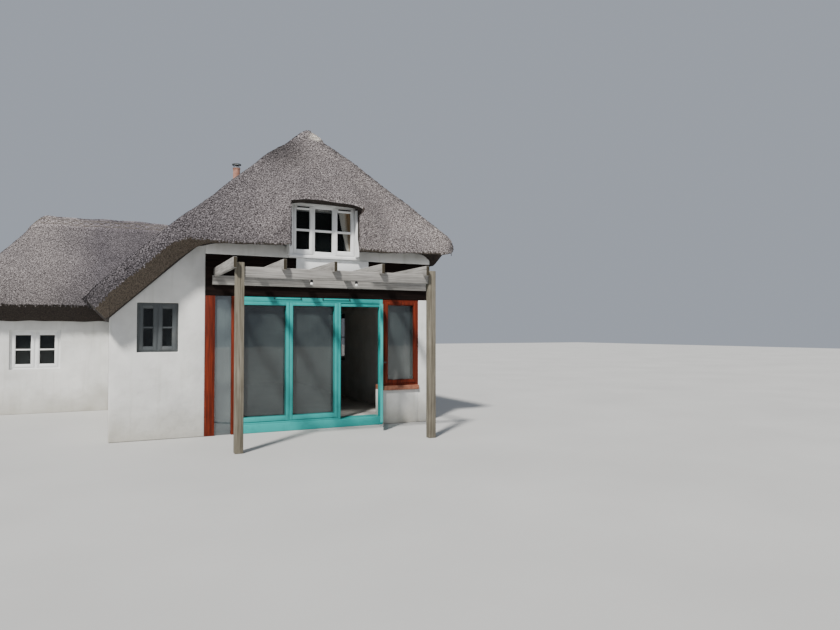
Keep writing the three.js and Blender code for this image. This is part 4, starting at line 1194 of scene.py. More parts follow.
def strip(across, along):
    """Faces of a closed strip with an upper and a lower skin of across by along points."""
    def at(i, j, skin):
        return (skin * along + j) * across + i

    faces = []
    for j in range(along - 1):
        for i in range(across - 1):
            faces.append([at(i, j, 0), at(i + 1, j, 0), at(i + 1, j + 1, 0), at(i, j + 1, 0)])
            faces.append([at(i, j, 1), at(i, j + 1, 1), at(i + 1, j + 1, 1), at(i + 1, j, 1)])
    for j in range(along - 1):
        faces.append([at(0, j, 0), at(0, j + 1, 0), at(0, j + 1, 1), at(0, j, 1)])
        last = across - 1
        faces.append([at(last, j, 0), at(last, j, 1), at(last, j + 1, 1), at(last, j + 1, 0)])
    for i in range(across - 1):
        last = along - 1
        faces.append([at(i, 0, 0), at(i, 0, 1), at(i + 1, 0, 1), at(i + 1, 0, 0)])
        faces.append([at(i, last, 0), at(i + 1, last, 0), at(i + 1, last, 1), at(i, last, 1)])
    return faces


def cap_piece(name, x, y, edge, finish):
    """A cap over the plan points x, y; edge is 0 on its rim and 1 inside it."""
    along, across = x.shape
    roof = straw_outside(x, y)
    rim = np.sqrt(np.clip(1 - (1 - np.clip(edge, 0, 1)) ** 2, 0, 1))
    upper = roof + CAP_EDGE + (CAP_THICKNESS - CAP_EDGE) * rim
    points = np.concatenate([
        np.stack([x, y, upper], -1).reshape(-1, 3),
        np.stack([x, y, roof - CAP_SINK], -1).reshape(-1, 3),
    ])
    piece = mesh_piece(name, points, strip(across, along), [finish])
    mark(piece, "cap", np.concatenate([np.ones(x.size), np.zeros(x.size)]))
    return piece


def cap_grid(along_count, across_count):
    """Shares along and across a cap; the points across crowd towards both rims."""
    u = np.sin(np.linspace(-math.pi / 2, math.pi / 2, across_count))
    return np.meshgrid(np.linspace(0, 1, along_count), u, indexing="ij")


def main_cap():
    """The cap of the main ridge, from its tip on the front hip to the rear hip."""
    along, across = cap_grid(130, 34)
    y = CAP_TIP_Y + (CAP_END_Y - CAP_TIP_Y) * along
    x = RIDGE_X + across * cap_half(y)
    edge = np.minimum((1 - np.abs(across)) * cap_half(y), y - CAP_TIP_Y) / CAP_RIM
    return cap_piece("ridge_cap", x, y, edge, "ridge_straw")


def range_cap():
    """The range's cap, whose two ends narrow and roll down."""
    along, across = cap_grid(76, 26)
    x = RANGE_CAP_X1 + (RANGE_CAP_X0 - RANGE_CAP_X1) * along
    from_ends = np.minimum(x - RANGE_CAP_X0, RANGE_CAP_X1 - x)
    half = np.minimum(RANGE_CAP_HALF, RANGE_CAP_TIP_HALF + CAP_TAPER * from_ends)
    y = RANGE_RIDGE_Y + across * half
    edge = np.minimum((1 - np.abs(across)) * half, from_ends) / CAP_RIM
    return cap_piece("range_ridge_cap", x, y, edge, "range_ridge_straw")


main_ridge = main_cap()
range_ridge = range_cap()
for cap, finish, seed in ((main_ridge, "ridge_straw", 21), (range_ridge, "range_ridge_straw", 22)):
    ends = grown(f"{finish}_ends", cap, STRAW_ENDS, Slope_mark="cap",
                 Bundles_per_square_metre=2000 * QUICK_SHARE, Length=0.045, Width=0.009, Seed=seed,
                 Straw=FINISHES[finish])
    hand_over(ends)
hand_over(main_ridge, stands_for=("thatch_ridge",))
hand_over(range_ridge)

# %% [markdown]
# ### Hazel rods on the ridge
# Split hazel rods, pinned flat along both edges of the cap with crossed rods between them, keep the
# straw down. The rods follow lines over the roof, so a second tree turns a line into a rod of a
# given thickness. It is used again for gaskets and other thin runs.

# %% A tree that turns lines into rods
ROD_RADIUS, ROD_SIDES = 0.007, 5
ROD_SPACING, ROD_STEP = 0.22, 0.08


def rod_tree():
    """A round rod along every line of the surface's edges."""
    t = Tree("rods")
    t.add_input("Rod radius", "NodeSocketFloat", ROD_RADIUS)
    t.add_input("Rod sides", "NodeSocketInt", ROD_SIDES)
    t.add_input("Finish", "NodeSocketMaterial")
    path = t.node("GeometryNodeMeshToCurve", None, {"Mesh": t.entry_socket("Surface")})
    section = t.node("GeometryNodeCurvePrimitiveCircle", {"mode": "RADIUS"}, {
        "Resolution": t.entry_socket("Rod sides"), "Radius": t.entry_socket("Rod radius"),
    })
    rod = t.node("GeometryNodeCurveToMesh", None, {
        "Curve": path.outputs[0], "Profile Curve": section.outputs[0], "Fill Caps": True,
    })
    t.end(rod.outputs[0], t.entry_socket("Finish"))
    return t


RODS = rod_tree()


def rods(name, paths, radius, finish, body=HOUSE):
    """One piece of rods, each along a list of points."""
    points = [tuple(p) for path in paths for p in path]
    edges, start = [], 0
    for path in paths:
        edges += [(start + k, start + k + 1) for k in range(len(path) - 1)]
        start += len(path)
    mesh = bpy.data.meshes.new(name)
    mesh.from_pydata(points, edges, [])
    lines = bpy.data.objects.new(f"{name}_lines", mesh)
    piece = grown(name, lines, RODS, Rod_radius=radius, Rod_sides=ROD_SIDES, Finish=FINISHES[finish])
    bpy.data.objects.remove(lines)
    shade(piece.data)
    hand_over(piece, body)


def on_cap(x, y):
    """Points of a rod that lies on the cap."""
    return np.stack([x, y, straw_outside(x, y) + CAP_THICKNESS + ROD_RADIUS * 0.6], -1)


def ridge_rods(start, long_end, cross_end, long_rods, zigzag, place):
    """Two long rods and two crossing zigzags on each side of a ridge."""
    paths = []
    for side in (-1, 1):
        for offset in long_rods:
            along = np.arange(start, long_end, ROD_STEP)
            paths.append(place(along, side * offset + 0 * along))
        for parity in (0, 1):
            knots = np.arange(start, cross_end, ROD_SPACING)
            offsets = np.where((np.arange(len(knots)) + parity) % 2 == 0, *zigzag)
            along = np.linspace(knots[0], knots[-1], len(knots) * 4)
            paths.append(place(along, side * np.interp(along, knots, offsets)))
    return paths


RIDGE_PATHS = ridge_rods(CAP_TIP_Y + 0.26, CAP_END_Y - 0.05, CAP_END_Y - 0.1, (0.16, 0.38), (0.17, 0.37),
                         lambda along, aside: on_cap(RIDGE_X + aside, along))
RIDGE_PATHS += ridge_rods(RANGE_CAP_X0 + 0.25, RANGE_CAP_X1 - 0.1, RANGE_CAP_X1 - 0.1, (0.12, 0.29),
                          (0.125, 0.285), lambda along, aside: on_cap(along, RANGE_RIDGE_Y + aside))
rods("ridge_hazel_rods", RIDGE_PATHS, ROD_RADIUS, "hazel")

# %% [markdown]
# ## Walls, floors and sill
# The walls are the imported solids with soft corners, because brushed render has no sharp arris. A
# bevel on a cleaned copy gives that and keeps every opening where it is.

# %% Walls
WALL_ROUNDING = 0.014
for node in ("front_wall_left", "gable_panel", "front_pier", "dwarf_wall", "left_wall", "right_wall",
             "rear_wall", "range_walls", "chimney_stack"):
    softened(node, "white_render", WALL_ROUNDING, 3)
softened("window_sill", "sill_tile", 0.008, 3)
softened("ground_floor", "concrete", 0.004)
softened("upper_floor", "floor_boards", 0.003)

# %% [markdown]
# ## Timbers
# The pergola is silver-grey oak: two posts, a beam, a ledger on the wall and five rafters whose tips
# are splay-cut. The beam over the doors is nearly black and the posts beside them are stained red.
# Sawn timber has arrises a few millimetres round, so they are softened copies too.

# %% Pergola and posts
SAWN_ROUNDING = 0.005
for node, finish in (("pergola_beam", "oak_X"), ("pergola_ledger", "oak_X"), ("pergola_post_left", "oak_Z"),
                     ("pergola_post_right", "oak_Z")):
    softened(node, finish, SAWN_ROUNDING)
for number in range(1, 6):
    rafter = f"pergola_rafter_{number}"
    softened(rafter, "oak_Y", SAWN_ROUNDING)
    low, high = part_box(rafter)
    # Each rafter's front end gets a thin, very dark plate: darker end grain together with painted shade.
    bars(f"{rafter}_end", [((low[0] + 0.003, low[1] - 0.001, low[2] + 0.003),
                            (high[0] - 0.003, low[1] + 0.001, high[2] - 0.003))],
         "end_grain_and_shade", bevel=0)
softened("timber_post_left", "red_stain", SAWN_ROUNDING)
softened("timber_post_middle", "red_stain", SAWN_ROUNDING)
softened("head_beam", "black_stain", 0.008)

# %% [markdown]
# ## Glass and small windows
# Panes stay as they were packed. The plain windows at the sides and the back keep their frames with
# soft edges, and thin beads hold the glass.

# %% Glass and plain windows
for node in NODES:
    if SLOT_OF[node] == "window_glass":
        for slot in NODES[node].material_slots:
            slot.material = FINISHES.get(node, FINISHES["window_glass"])
for node, finish in (("side_window_frame", "red_stain"), ("small_window_frame", "dark_frame"),
                     ("rear_window_frame", "white_paint"), ("range_window_frame", "white_paint"),
                     ("right_window_frame", "white_paint")):
    softened(node, finish, 0.005, 3)

# %% [markdown]
# ### Casements in the plain windows
# Most plain windows have two lights like those of the dormer: a sash that stands a little proud of
# the frame, a bead around the pane and one bar across; the side window has one light and no bar.
# They are drawn facing the garden from the middle of the window and then turned to the side on which
# the window sits.

# %% Casements
CASEMENT_LAP, CASEMENT_RAIL, CASEMENT_BEAD = 0.012, 0.040, 0.009
CROSS_BAR_HALF = 0.013


def inset(edges, by):
    """The edges x0, x1, z0, z1 of an opening, each moved inwards."""
    x0, x1, z0, z1 = edges
    return x0 + by, x1 - by, z0 + by, z1 - by


def ring(outer, inner, y0, y1):
    """Four bars between two outlines: two uprights and two rails between them."""
    x0, x1, z0, z1 = outer
    ix0, ix1, iz0, iz1 = inner
    return [
        ((x0, y0, z0), (ix0, y1, z1)), ((ix1, y0, z0), (x1, y1, z1)),
        ((ix0, y0, z0), (ix1, y1, iz0)), ((ix0, y0, iz1), (ix1, y1, z1)),
    ]


def plan_middle(low, high):
    """The middle of a box in plan."""
    return (low[0] + high[0]) / 2, (low[1] + high[1]) / 2


def casements(node, finish, edge, middle_bar, degrees, lights=2, cross_bar=True):
    """Sashes, beads and bars for one window, turned to its side of the house."""
    low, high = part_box(node)
    width, depth = high[0] - low[0], high[1] - low[1]
    if degrees in (90, 270):
        width, depth = depth, width
    turn = Matrix.Translation((*plan_middle(low, high), 0)) @ Matrix.Rotation(math.radians(degrees), 4, "Z")
    face = -depth / 2
    z0, z1 = low[2] + edge, high[2] - edge
    light = (width - 2 * edge - middle_bar * (lights - 1)) / lights
    sashes, beads = [], []
    for k in range(lights):
        x0 = -width / 2 + edge + k * (light + middle_bar)
        opening = (x0, x0 + light, z0, z1)
        pane = inset(opening, CASEMENT_RAIL)
        sashes += ring(inset(opening, -CASEMENT_LAP), pane, face - 0.010, face + 0.030)
        beads += ring(pane, inset(pane, CASEMENT_BEAD), face, face + 0.014)
        if cross_bar:
            bar_z = z0 + (z1 - z0) * 0.5
            beads.append(((pane[0], face - 0.003, bar_z - CROSS_BAR_HALF),
                          (pane[1], face + 0.026, bar_z + CROSS_BAR_HALF)))
    bars(node.replace("frame", "sashes"), sashes, finish, bevel=0.004, turn=turn)
    bars(node.replace("frame", "beads"), beads, finish, bevel=0.002, turn=turn)


casements("small_window_frame", "dark_frame", 0.045, 0.045, 0)
casements("range_window_frame", "white_paint", 0.055, 0.060, 0)
casements("rear_window_frame", "white_paint", 0.055, 0.060, 180)
casements("right_window_frame", "white_paint", 0.055, 0.060, 90)
casements("side_window_frame", "red_stain", 0.055, 0.0, 0, lights=1, cross_bar=False)

# %% [markdown]
# ## Dormer window
# The dormer has three lights: two side casements with a trickle vent over each and a taller fixed
# light between them. Each light is crossed by one glazing bar. The frame, the sashes, the bars and
# the beads are separate lengths of wood on the real window, so each is a bar here.

# %% Dormer frame and sashes
DORMER_LOW, DORMER_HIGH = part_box("dormer_window")
FRAME_FACE_Y, FRAME_BACK_Y = DORMER_LOW[1], DORMER_HIGH[1]
FRAME_EDGE = 0.028
MULLIONS = ((0.436, 0.466), (0.814, 0.846))
SIDE_LIGHTS = ((0.148, 0.393, 3.075, 3.766), (0.882, 1.142, 3.075, 3.766))
FIXED_LIGHT = (0.480, 0.800, 3.046, 3.802)
BAR_Z, BAR_HALF = 3.414, 0.018
SASH_PROUD = 0.014
BEAD, BEAD_LAP = 0.006, 0.002


def dormer_frame_bars():
    """The outer frame, the two mullions and the rebate around the fixed light."""
    x0, x1, z0, z1 = DORMER_LOW[0], DORMER_HIGH[0], DORMER_LOW[2], DORMER_HIGH[2]
    foot, head = z0 + FRAME_EDGE, z1 - FRAME_EDGE * 0.8
    inner = (x0 + FRAME_EDGE, x1 - FRAME_EDGE, foot, head)
    boxes = ring((x0, x1, z0, z1), inner, FRAME_FACE_Y, FRAME_BACK_Y)
    boxes += [((a, FRAME_FACE_Y, foot), (b, FRAME_BACK_Y, head)) for a, b in MULLIONS]
    middle = (MULLIONS[0][1], MULLIONS[1][0], foot, head)
    return boxes + ring(middle, FIXED_LIGHT, FRAME_FACE_Y + 0.010, FRAME_BACK_Y)


def dormer_sash_bars():
    """The two side casements, which stand a little proud of the frame."""
    z0, z1 = DORMER_LOW[2] + 0.024, DORMER_HIGH[2] - 0.019
    outer = ((DORMER_LOW[0] + 0.024, MULLIONS[0][0] + 0.004, z0, z1),
             (MULLIONS[1][1] - 0.004, DORMER_HIGH[0] - 0.024, z0, z1))
    boxes = []
    for sash, light in zip(outer, SIDE_LIGHTS):
        boxes += ring(sash, light, FRAME_FACE_Y - SASH_PROUD, FRAME_BACK_Y - 0.004)
    return boxes


def dormer_bar_boxes():
    """A glazing bar across every light and a bead around it."""
    lights = (*SIDE_LIGHTS, FIXED_LIGHT)
    boxes = [((light[0] - BEAD_LAP, FRAME_FACE_Y + 0.004, BAR_Z - BAR_HALF),
              (light[1] + BEAD_LAP, FRAME_BACK_Y - 0.002, BAR_Z + BAR_HALF)) for light in lights]
    for light, front, back in zip(lights, (0.006, 0.006, 0.016), (0.022, 0.022, 0.030)):
        boxes += ring(inset(light, -BEAD_LAP), inset(light, BEAD),
                      FRAME_FACE_Y + front, FRAME_FACE_Y + back)
    return boxes


bars("dormer_frame", dormer_frame_bars(), "white_paint", stands_for=("dormer_window",))
bars("dormer_sashes", dormer_sash_bars(), "white_paint", bevel=0.004)
bars("dormer_glazing_bars", dormer_bar_boxes(), "white_paint", bevel=0.0025)

# %% Vents, lining boards, sill, surround and apron
VENT_LOW, VENT_HEIGHT, VENT_DEPTH = 0.008, 0.016, 0.016
VENT_TOP = VENT_LOW + VENT_HEIGHT
VENT_SLOT_TOP = VENT_TOP + 0.026
SASH_FACE_Y = FRAME_FACE_Y - SASH_PROUD


def over_side_lights(front, back, low, high, inwards):
    """A bar over each side light between two depths and two heights above its glass."""
    return [((x0 + inwards, front, top + low), (x1 - inwards, back, top + high))
            for x0, x1, _, top in SIDE_LIGHTS]


bars("dormer_vent_hoods",
     over_side_lights(SASH_FACE_Y - VENT_DEPTH, SASH_FACE_Y + 0.002, VENT_LOW, VENT_TOP, 0.004),
     "white_paint", bevel=0.003)
# A thin black strip over each hood is painted shade in the vent's gap.
bars("dormer_vent_shadow_strips",
     over_side_lights(SASH_FACE_Y - 0.002, SASH_FACE_Y + 0.002, VENT_TOP, VENT_SLOT_TOP, 0.016),
     "rubber", bevel=0.0005)


def lining_boards():
    """White boards that line the straw on both sides of the window, wider at the foot."""
    foot = ((-4.500, 3.110), (-4.520, 2.972))
    left = ((-4.296, 2.972), (-4.296, 3.800), (-4.350, 3.800), (-4.430, 3.300), *foot)
    right = ((-4.296, 2.972), (-4.296, 3.800), (-4.430, 3.800), (-4.440, 3.300), *foot)
    shape = bmesh.new()
    for x0, x1, outline in ((DORMER_X0 + 0.004, DORMER_X0 + 0.018, left),
                            (DORMER_X1 - 0.022, DORMER_X1 - 0.004, right)):
        near = [shape.verts.new((x0, y, z)) for y, z in outline]
        far = [shape.verts.new((x1, y, z)) for y, z in outline]
        shape.faces.new(near)
        shape.faces.new(far[::-1])
        for k in range(len(outline)):
            m = (k + 1) % len(outline)
            shape.faces.new((near[m], near[k], far[k], far[m]))
    bmesh.ops.recalc_face_normals(shape, faces=shape.faces)
    return piece_from_bmesh("dormer_lining_boards", shape, "white_paint", 0.002)


hand_over(lining_boards())
bars("dormer_casing_board", [((DORMER_X0 + 0.006, -4.312, 2.972), (0.090, -4.2955, 3.850))],
     "white_paint", bevel=0.003)
softened("dormer_surround", "white_paint", 0.004)
softened("dormer_sill", "white_paint", 0.008, 3)
softened("apron_board", "white_paint", 0.004)

# %% [markdown]
# ## Curtain
# One curtain hangs behind the right light, drawn to the side and narrower towards its foot. It is a
# flat cloth gathered into folds, so every row of the sheet keeps the same length: where the row is
# squeezed, the folds get deeper. A short search finds the depth for each row.

# %% Curtain
CURTAIN_LOW, CURTAIN_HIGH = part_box("curtain")
CLOTH_WIDTH = 0.50
FOLDS = 5
CLOTH_ROWS, CLOTH_COLUMNS = 48, 196
CLOTH_THICKNESS = 0.0012
CLOTH_LENGTH = CURTAIN_HIGH[2] - CURTAIN_LOW[2] - 0.004
CURTAIN_TOP_X, CURTAIN_FOOT_X, CURTAIN_SLANT = 0.955, 1.140, 1.2
CURTAIN_Y = (CURTAIN_LOW[1] + CURTAIN_HIGH[1]) / 2


def fold_row(left, right, depth, sway):
    """One row of cloth between two ends, with folds of the given depth."""
    u = np.linspace(0, 1, CLOTH_COLUMNS)
    uneven = u + 0.022 * np.sin(math.tau * 2 * u + sway) + 0.010 * np.sin(math.tau * 5 * u)
    swing = 1 + 0.25 * np.sin(math.tau * 1.5 * u + 2 * sway)
    x = left + (right - left) * u + 0.25 * depth * np.sin(2 * math.tau * FOLDS * uneven)
    y = CURTAIN_Y + depth * swing * np.sin(math.tau * FOLDS * uneven)
    return x, y


def row_length(x, y):
    """How much cloth a row takes up."""
    return float(np.hypot(np.diff(x), np.diff(y)).sum())


def gathered_row(left, right, sway):
    """The row whose folds use up exactly the cloth's width."""
    shallow, deep = 0.0, 0.08
    for _ in range(30):
        depth = (shallow + deep) / 2
        x, y = fold_row(left, right, depth, sway)
        if row_length(x, y) < CLOTH_WIDTH:
            shallow = depth
        else:
            deep = depth
    return x, y


def curtain_sheet():
    """The gathered cloth, row by row from the pole down, with its length and width as its UV."""
    points = []
    for k in range(CLOTH_ROWS + 1):
        down = k / CLOTH_ROWS
        z = CURTAIN_HIGH[2] + 0.006 - (CURTAIN_HIGH[2] - CURTAIN_LOW[2] - 0.01) * down
        left = CURTAIN_TOP_X + (CURTAIN_FOOT_X - CURTAIN_TOP_X) * down ** CURTAIN_SLANT
        x, y = gathered_row(left, CURTAIN_HIGH[0] - 0.012, 0.6 + 0.9 * down)
        points += [(px, py, z) for px, py in zip(x, y)]
    wide = CLOTH_COLUMNS
    faces = [[a, a + wide, a + wide + 1, a + 1] for k in range(CLOTH_ROWS)
             for a in range(k * wide, (k + 1) * wide - 1)]
    piece = mesh_piece("hung_curtain", points, faces, ["curtain_cloth"])
    layer = piece.data.uv_layers.new(name="weave")
    for corner in piece.data.loops:
        row, column = divmod(corner.vertex_index, wide)
        layer.data[corner.index].uv = (column / (wide - 1) * CLOTH_WIDTH, row / CLOTH_ROWS * CLOTH_LENGTH)
    body = piece.modifiers.new("cloth", "SOLIDIFY")
    body.thickness = CLOTH_THICKNESS
    body.offset = 0
    settle(piece)
    shade(piece.data)
    return piece


curtain_piece = curtain_sheet()
hand_over(curtain_piece, stands_for=("curtain",))
for slot in NODES["curtain_pole"].material_slots:
    slot.material = FINISHES["steel"]

# %% [markdown]
# ## Glazed doors
# Two fixed leaves and one that opens are framed in aluminium painted teal. Each leaf has its own
# stiles and rails, a rubber gasket runs around each pane, and a fine shadow line parts leaf from
# leaf. The frame could be one block with holes, but then those lines would be missing.

# %% Fixed leaves and frame
SET_LOW, SET_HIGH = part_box("door_frame")
FIXED_PANES = ((-0.716, -0.012, 0.260, 2.110), (0.104, 0.842, 0.260, 2.110))
DOORWAY_X = (0.958, 1.692)
LEAF_JOINTS = (-0.780, 0.046, 0.906)
FRAME_HEAD_Z, DOORWAY_HEAD_Z = 2.172, 2.110
SHADOW_GAP = 0.005
LEAF_PROUD = 0.008


def door_frame_bars():
    """Jambs, head, foot and the bar beside the doorway."""
    y0, y1 = SET_LOW[1] + LEAF_PROUD, SET_HIGH[1]
    z0, z1 = SET_LOW[2], SET_HIGH[2]
    return [
        ((SET_LOW[0], y0, z0), (LEAF_JOINTS[0] - SHADOW_GAP, y1, z1)),
        ((DOORWAY_X[1], y0, z0), (SET_HIGH[0], y1, z1)),
        ((LEAF_JOINTS[0] - SHADOW_GAP, y0, FRAME_HEAD_Z), (DOORWAY_X[1], y1, z1)),
        ((LEAF_JOINTS[0] - SHADOW_GAP, y0, z0), (LEAF_JOINTS[2] + SHADOW_GAP, y1, z0 + 0.035)),
        ((LEAF_JOINTS[2] + SHADOW_GAP, y0, z0), (DOORWAY_X[0], y1, FRAME_HEAD_Z)),
        ((DOORWAY_X[0], y0 + 0.012, DOORWAY_HEAD_Z), (DOORWAY_X[1], y1, FRAME_HEAD_Z)),
    ]


def door_leaf_bars():
    """Stiles and rails of the two fixed leaves."""
    low, high = SET_LOW[2] + 0.040, FRAME_HEAD_Z - 0.004
    boxes = []
    for start, end, pane in zip(LEAF_JOINTS, LEAF_JOINTS[1:], FIXED_PANES):
        leaf = (start + SHADOW_GAP / 2, end - SHADOW_GAP / 2, low, high)
        boxes += ring(leaf, pane, SET_LOW[1], SET_HIGH[1] - 0.004)
    return boxes


def gasket_loop(edges, y, turn=None):
    """A closed run of rubber just inside an opening."""
    x0, x1, z0, z1 = edges
    loop = [Vector((x, y, z)) for x, z in ((x0, z0), (x1, z0), (x1, z1), (x0, z1), (x0, z0))]
    return [turn @ p if turn else p for p in loop]


bars("door_outer_frame", door_frame_bars(), "teal_paint", stands_for=("door_frame",))
bars("door_fixed_leaves", door_leaf_bars(), "teal_paint", bevel=0.004)
rods("door_gaskets", [gasket_loop(inset(pane, 0.003), SET_LOW[1] + 0.012) for pane in FIXED_PANES],
     0.004, "rubber")
softened("door_threshold", "teal_paint", 0.006, 3)

# %% Vents over the doors
VENT_RUNS = ((-0.200, 0.232), (0.640, 1.108))
VENT_Z = (2.216, 2.238)
VENT_CAP = 0.020
bars("door_vents", [((a, SET_LOW[1] - 0.006, VENT_Z[0]), (b, SET_LOW[1] + 0.012, VENT_Z[1]))
                    for a, b in VENT_RUNS], "teal_paint", bevel=0.004)
bars("door_vent_ends", [((x - VENT_CAP, SET_LOW[1] - 0.008, VENT_Z[0] - 0.003),
                         (x, SET_LOW[1] + 0.012, VENT_Z[1] + 0.003))
                        for a, b in VENT_RUNS for x in (a, b + VENT_CAP)],
     "rubber", bevel=0.002)

# %% [markdown]
# ## The opening leaf
# This leaf hangs on two pins at the right-hand jamb and stands open, so it is drawn shut around its
# pin and then turned. The handle is turned with it and rides on the same body.

# %% Opening leaf
PIN = Vector((1.716, -4.3325, 0.0))
OPEN_ANGLE = math.radians(67.5)
LEAF_TURN = Matrix.Translation(PIN) @ Matrix.Rotation(OPEN_ANGLE, 4, "Z")
LEAF_START, LEAF_END, LEAF_LOW, LEAF_HIGH = LEAF_EDGES = (-0.7825, -0.0075, 0.150, 2.130)
LEAF_FACE, LEAF_BACK = -0.0225, 0.0225
STILE, BOTTOM_RAIL = 0.075, 0.150
LEAF_GLASS = (LEAF_START + STILE, LEAF_END - STILE, LEAF_LOW + BOTTOM_RAIL, LEAF_HIGH - STILE)
BEAD_INNER = inset(LEAF_GLASS, 0.012)
GLASS_HALF = 0.0135

bars("door_leaf_frame", ring(LEAF_EDGES, LEAF_GLASS, LEAF_FACE, LEAF_BACK),
     "teal_paint", body=DOOR, stands_for=("door_leaf",), bevel=0.004, turn=LEAF_TURN)
bars("door_leaf_beads", ring(LEAF_GLASS, BEAD_INNER, LEAF_FACE + 0.003, -GLASS_HALF)
     + ring(LEAF_GLASS, BEAD_INNER, GLASS_HALF, LEAF_BACK - 0.003),
     "teal_paint", body=DOOR, bevel=0.002, turn=LEAF_TURN)
LEAF_GASKETS = [gasket_loop(inset(BEAD_INNER, 0.002), y, LEAF_TURN) for y in (-GLASS_HALF, GLASS_HALF)]
rods("door_leaf_gaskets", LEAF_GASKETS, 0.003, "rubber", DOOR)

# %% Handle and hinges
HANDLE_X, HANDLE_Z = LEAF_START + STILE / 2, 1.150


def round_bar(shape, middle, axis, length, radius, end_radius=None):
    """Adds a round bar that is turned about an axis to lie level, and thins to its end radius."""
    place = Matrix.Translation(middle) @ Matrix.Rotation(math.pi / 2, 4, axis)
    bmesh.ops.create_cone(shape, cap_ends=True, segments=20, radius1=radius, radius2=end_radius or radius,
                          depth=length, matrix=place)


def lever_handle():
    """A long plate, a round neck, a rounded lever and a keyhole, on the outer face."""
    shape = bmesh.new()
    face = LEAF_FACE - 0.0003
    add_bar(shape, (HANDLE_X - 0.016, face - 0.008, HANDLE_Z - 0.110),
            (HANDLE_X + 0.016, face, HANDLE_Z + 0.110))
    round_bar(shape, (HANDLE_X, face - 0.027, HANDLE_Z), "X", 0.046, 0.009)
    round_bar(shape, (HANDLE_X + 0.0535, face - 0.051, HANDLE_Z), "Y", 0.123, 0.0085, 0.0075)
    round_bar(shape, (HANDLE_X, face - 0.009, HANDLE_Z - 0.07), "X", 0.003, 0.0095)
    bmesh.ops.transform(shape, matrix=LEAF_TURN, verts=shape.verts)
    return piece_from_bmesh("lever_handle", shape, "black_iron", 0.002, 3)


hand_over(lever_handle(), DOOR, ("door_handle",))
for node in ("door_hinge_lower", "door_hinge_upper"):
    softened(node, "black_iron", 0.0015)

# %% [markdown]
# ## Lamps under the beam
# Two small lamps hang under the pergola beam: a black holder with a ribbed skirt and a pale bulb.
# Each is a turned profile, so a helper spins a list of radii and heights around an upright axis.

# %% Turned pieces


def turned(shape, centre, profile, segments=28, closed=False):
    """Adds a turned body. Its profile runs from axis to axis, or closes on itself away from it."""
    rings = []
    for radius, z in profile:
        steps = [math.tau * k / segments for k in range(1 if radius < HAIR else segments)]
        rings.append([shape.verts.new((centre[0] + radius * math.cos(a), centre[1] + radius * math.sin(a),
                                       centre[2] + z)) for a in steps])
    for low, high in zip(rings, rings[1:] + rings[:1] * closed):
        for k in range(segments):
            m = (k + 1) % segments
            if len(low) == 1:
                shape.faces.new((low[0], high[m], high[k]))
            elif len(high) == 1:
                shape.faces.new((low[k], low[m], high[0]))
            else:
                shape.faces.new((low[k], low[m], high[m], high[k]))


def arc(radius, centre_z, start, end, steps):
    """Points of a round stretch of a profile, in degrees from the foot upwards."""
    turns = [math.radians(start + (end - start) * k / steps) for k in range(steps + 1)]
    return [(radius * math.cos(a), centre_z + radius * math.sin(a)) for a in turns]


HOLDER = [(0, -0.036), (0.019, -0.036), (0.021, -0.033), (0.021, -0.026), (0.0185, -0.025),
          (0.0185, -0.021), (0.021, -0.020), (0.021, -0.012), (0.017, -0.004), (0.009, 0), (0, 0)]
BULB = [(0, -0.0785)] + arc(0.0215, -0.057, -82, 48, 12) + [(0.012, -0.033), (0, -0.033)]

for node in ("pergola_lamp_left", "pergola_lamp_right"):
    low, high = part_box(node)
    top = (*plan_middle(low, high), high[2])
    holder = bmesh.new()
    turned(holder, top, HOLDER)
    hand_over(piece_from_bmesh(f"{node}_holder", holder, "black_iron"), stands_for=(node,))
    bulb = bmesh.new()
    turned(bulb, top, BULB)
    hand_over(piece_from_bmesh(f"{node}_bulb", bulb, "bulb"))

# %% [markdown]
# ## Chimney pot and cowl
# A tall clay pot stands on the stack behind the ridge, and a steel cowl keeps the rain out. The pot
# is turned with a rolled rim and a base ring, and the cowl has a collar, four straps and a hood.

# %% Pot and cowl
POT_LOW, POT_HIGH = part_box("chimney_pot")
POT_CENTRE = (*plan_middle(POT_LOW, POT_HIGH), POT_LOW[2])
POT_BODY, POT_BORE = 0.095, 0.073
POT_TALL = POT_HIGH[2] - POT_LOW[2]
POT_SEGMENTS = 40


def pot_profile():
    """A base ring, a shaft that tapers, a rolled rim and the bore."""
    rim = [(POT_BODY + 0.001 + 0.011 * math.cos(a), POT_TALL - 0.018 + 0.018 * math.sin(a))
           for a in np.linspace(-1.3, 1.45, 8)]
    foot = [(POT_BORE, 0), (POT_BODY + 0.022, 0), (POT_BODY + 0.025, 0.006), (POT_BODY + 0.025, 0.026),
            (POT_BODY + 0.018, 0.036), (POT_BODY + 0.006, 0.050)]
    shaft = [(POT_BODY + 0.003 * (1 - k / 10), 0.06 + (POT_TALL - 0.11) * k / 10) for k in range(11)]
    return foot + shaft + rim + [(POT_BORE + 0.004, POT_TALL), (POT_BORE, POT_TALL - 0.006)]


pot = bmesh.new()
turned(pot, POT_CENTRE, pot_profile(), POT_SEGMENTS, closed=True)
hand_over(piece_from_bmesh("clay_pot", pot, "clay"), stands_for=("chimney_pot",))

COWL_CENTRE = (POT_CENTRE[0], POT_CENTRE[1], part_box("chimney_cowl")[0][2])
COLLAR = [(0.080, 0), (0.103, 0), (0.103, 0.022), (0.099, 0.026), (0.084, 0.026), (0.080, 0.022)]
HOOD = [(0, 0.112), (0.124, 0.112), (0.128, 0.114), (0.122, 0.119), (0.105, 0.126), (0.078, 0.135),
        (0.045, 0.143), (0.020, 0.148), (0, 0.150)]
# Dark rings of painted shade under the hood's rim and under the collar.
HOOD_SHADE_BAND = [(0.120, 0.088), (0.1285, 0.088), (0.1285, 0.1125), (0.120, 0.1125)]
COLLAR_SHADE_BAND = [(0.0985, -0.0145), (0.1045, -0.0145), (0.1045, 0.0025), (0.0985, 0.0025)]


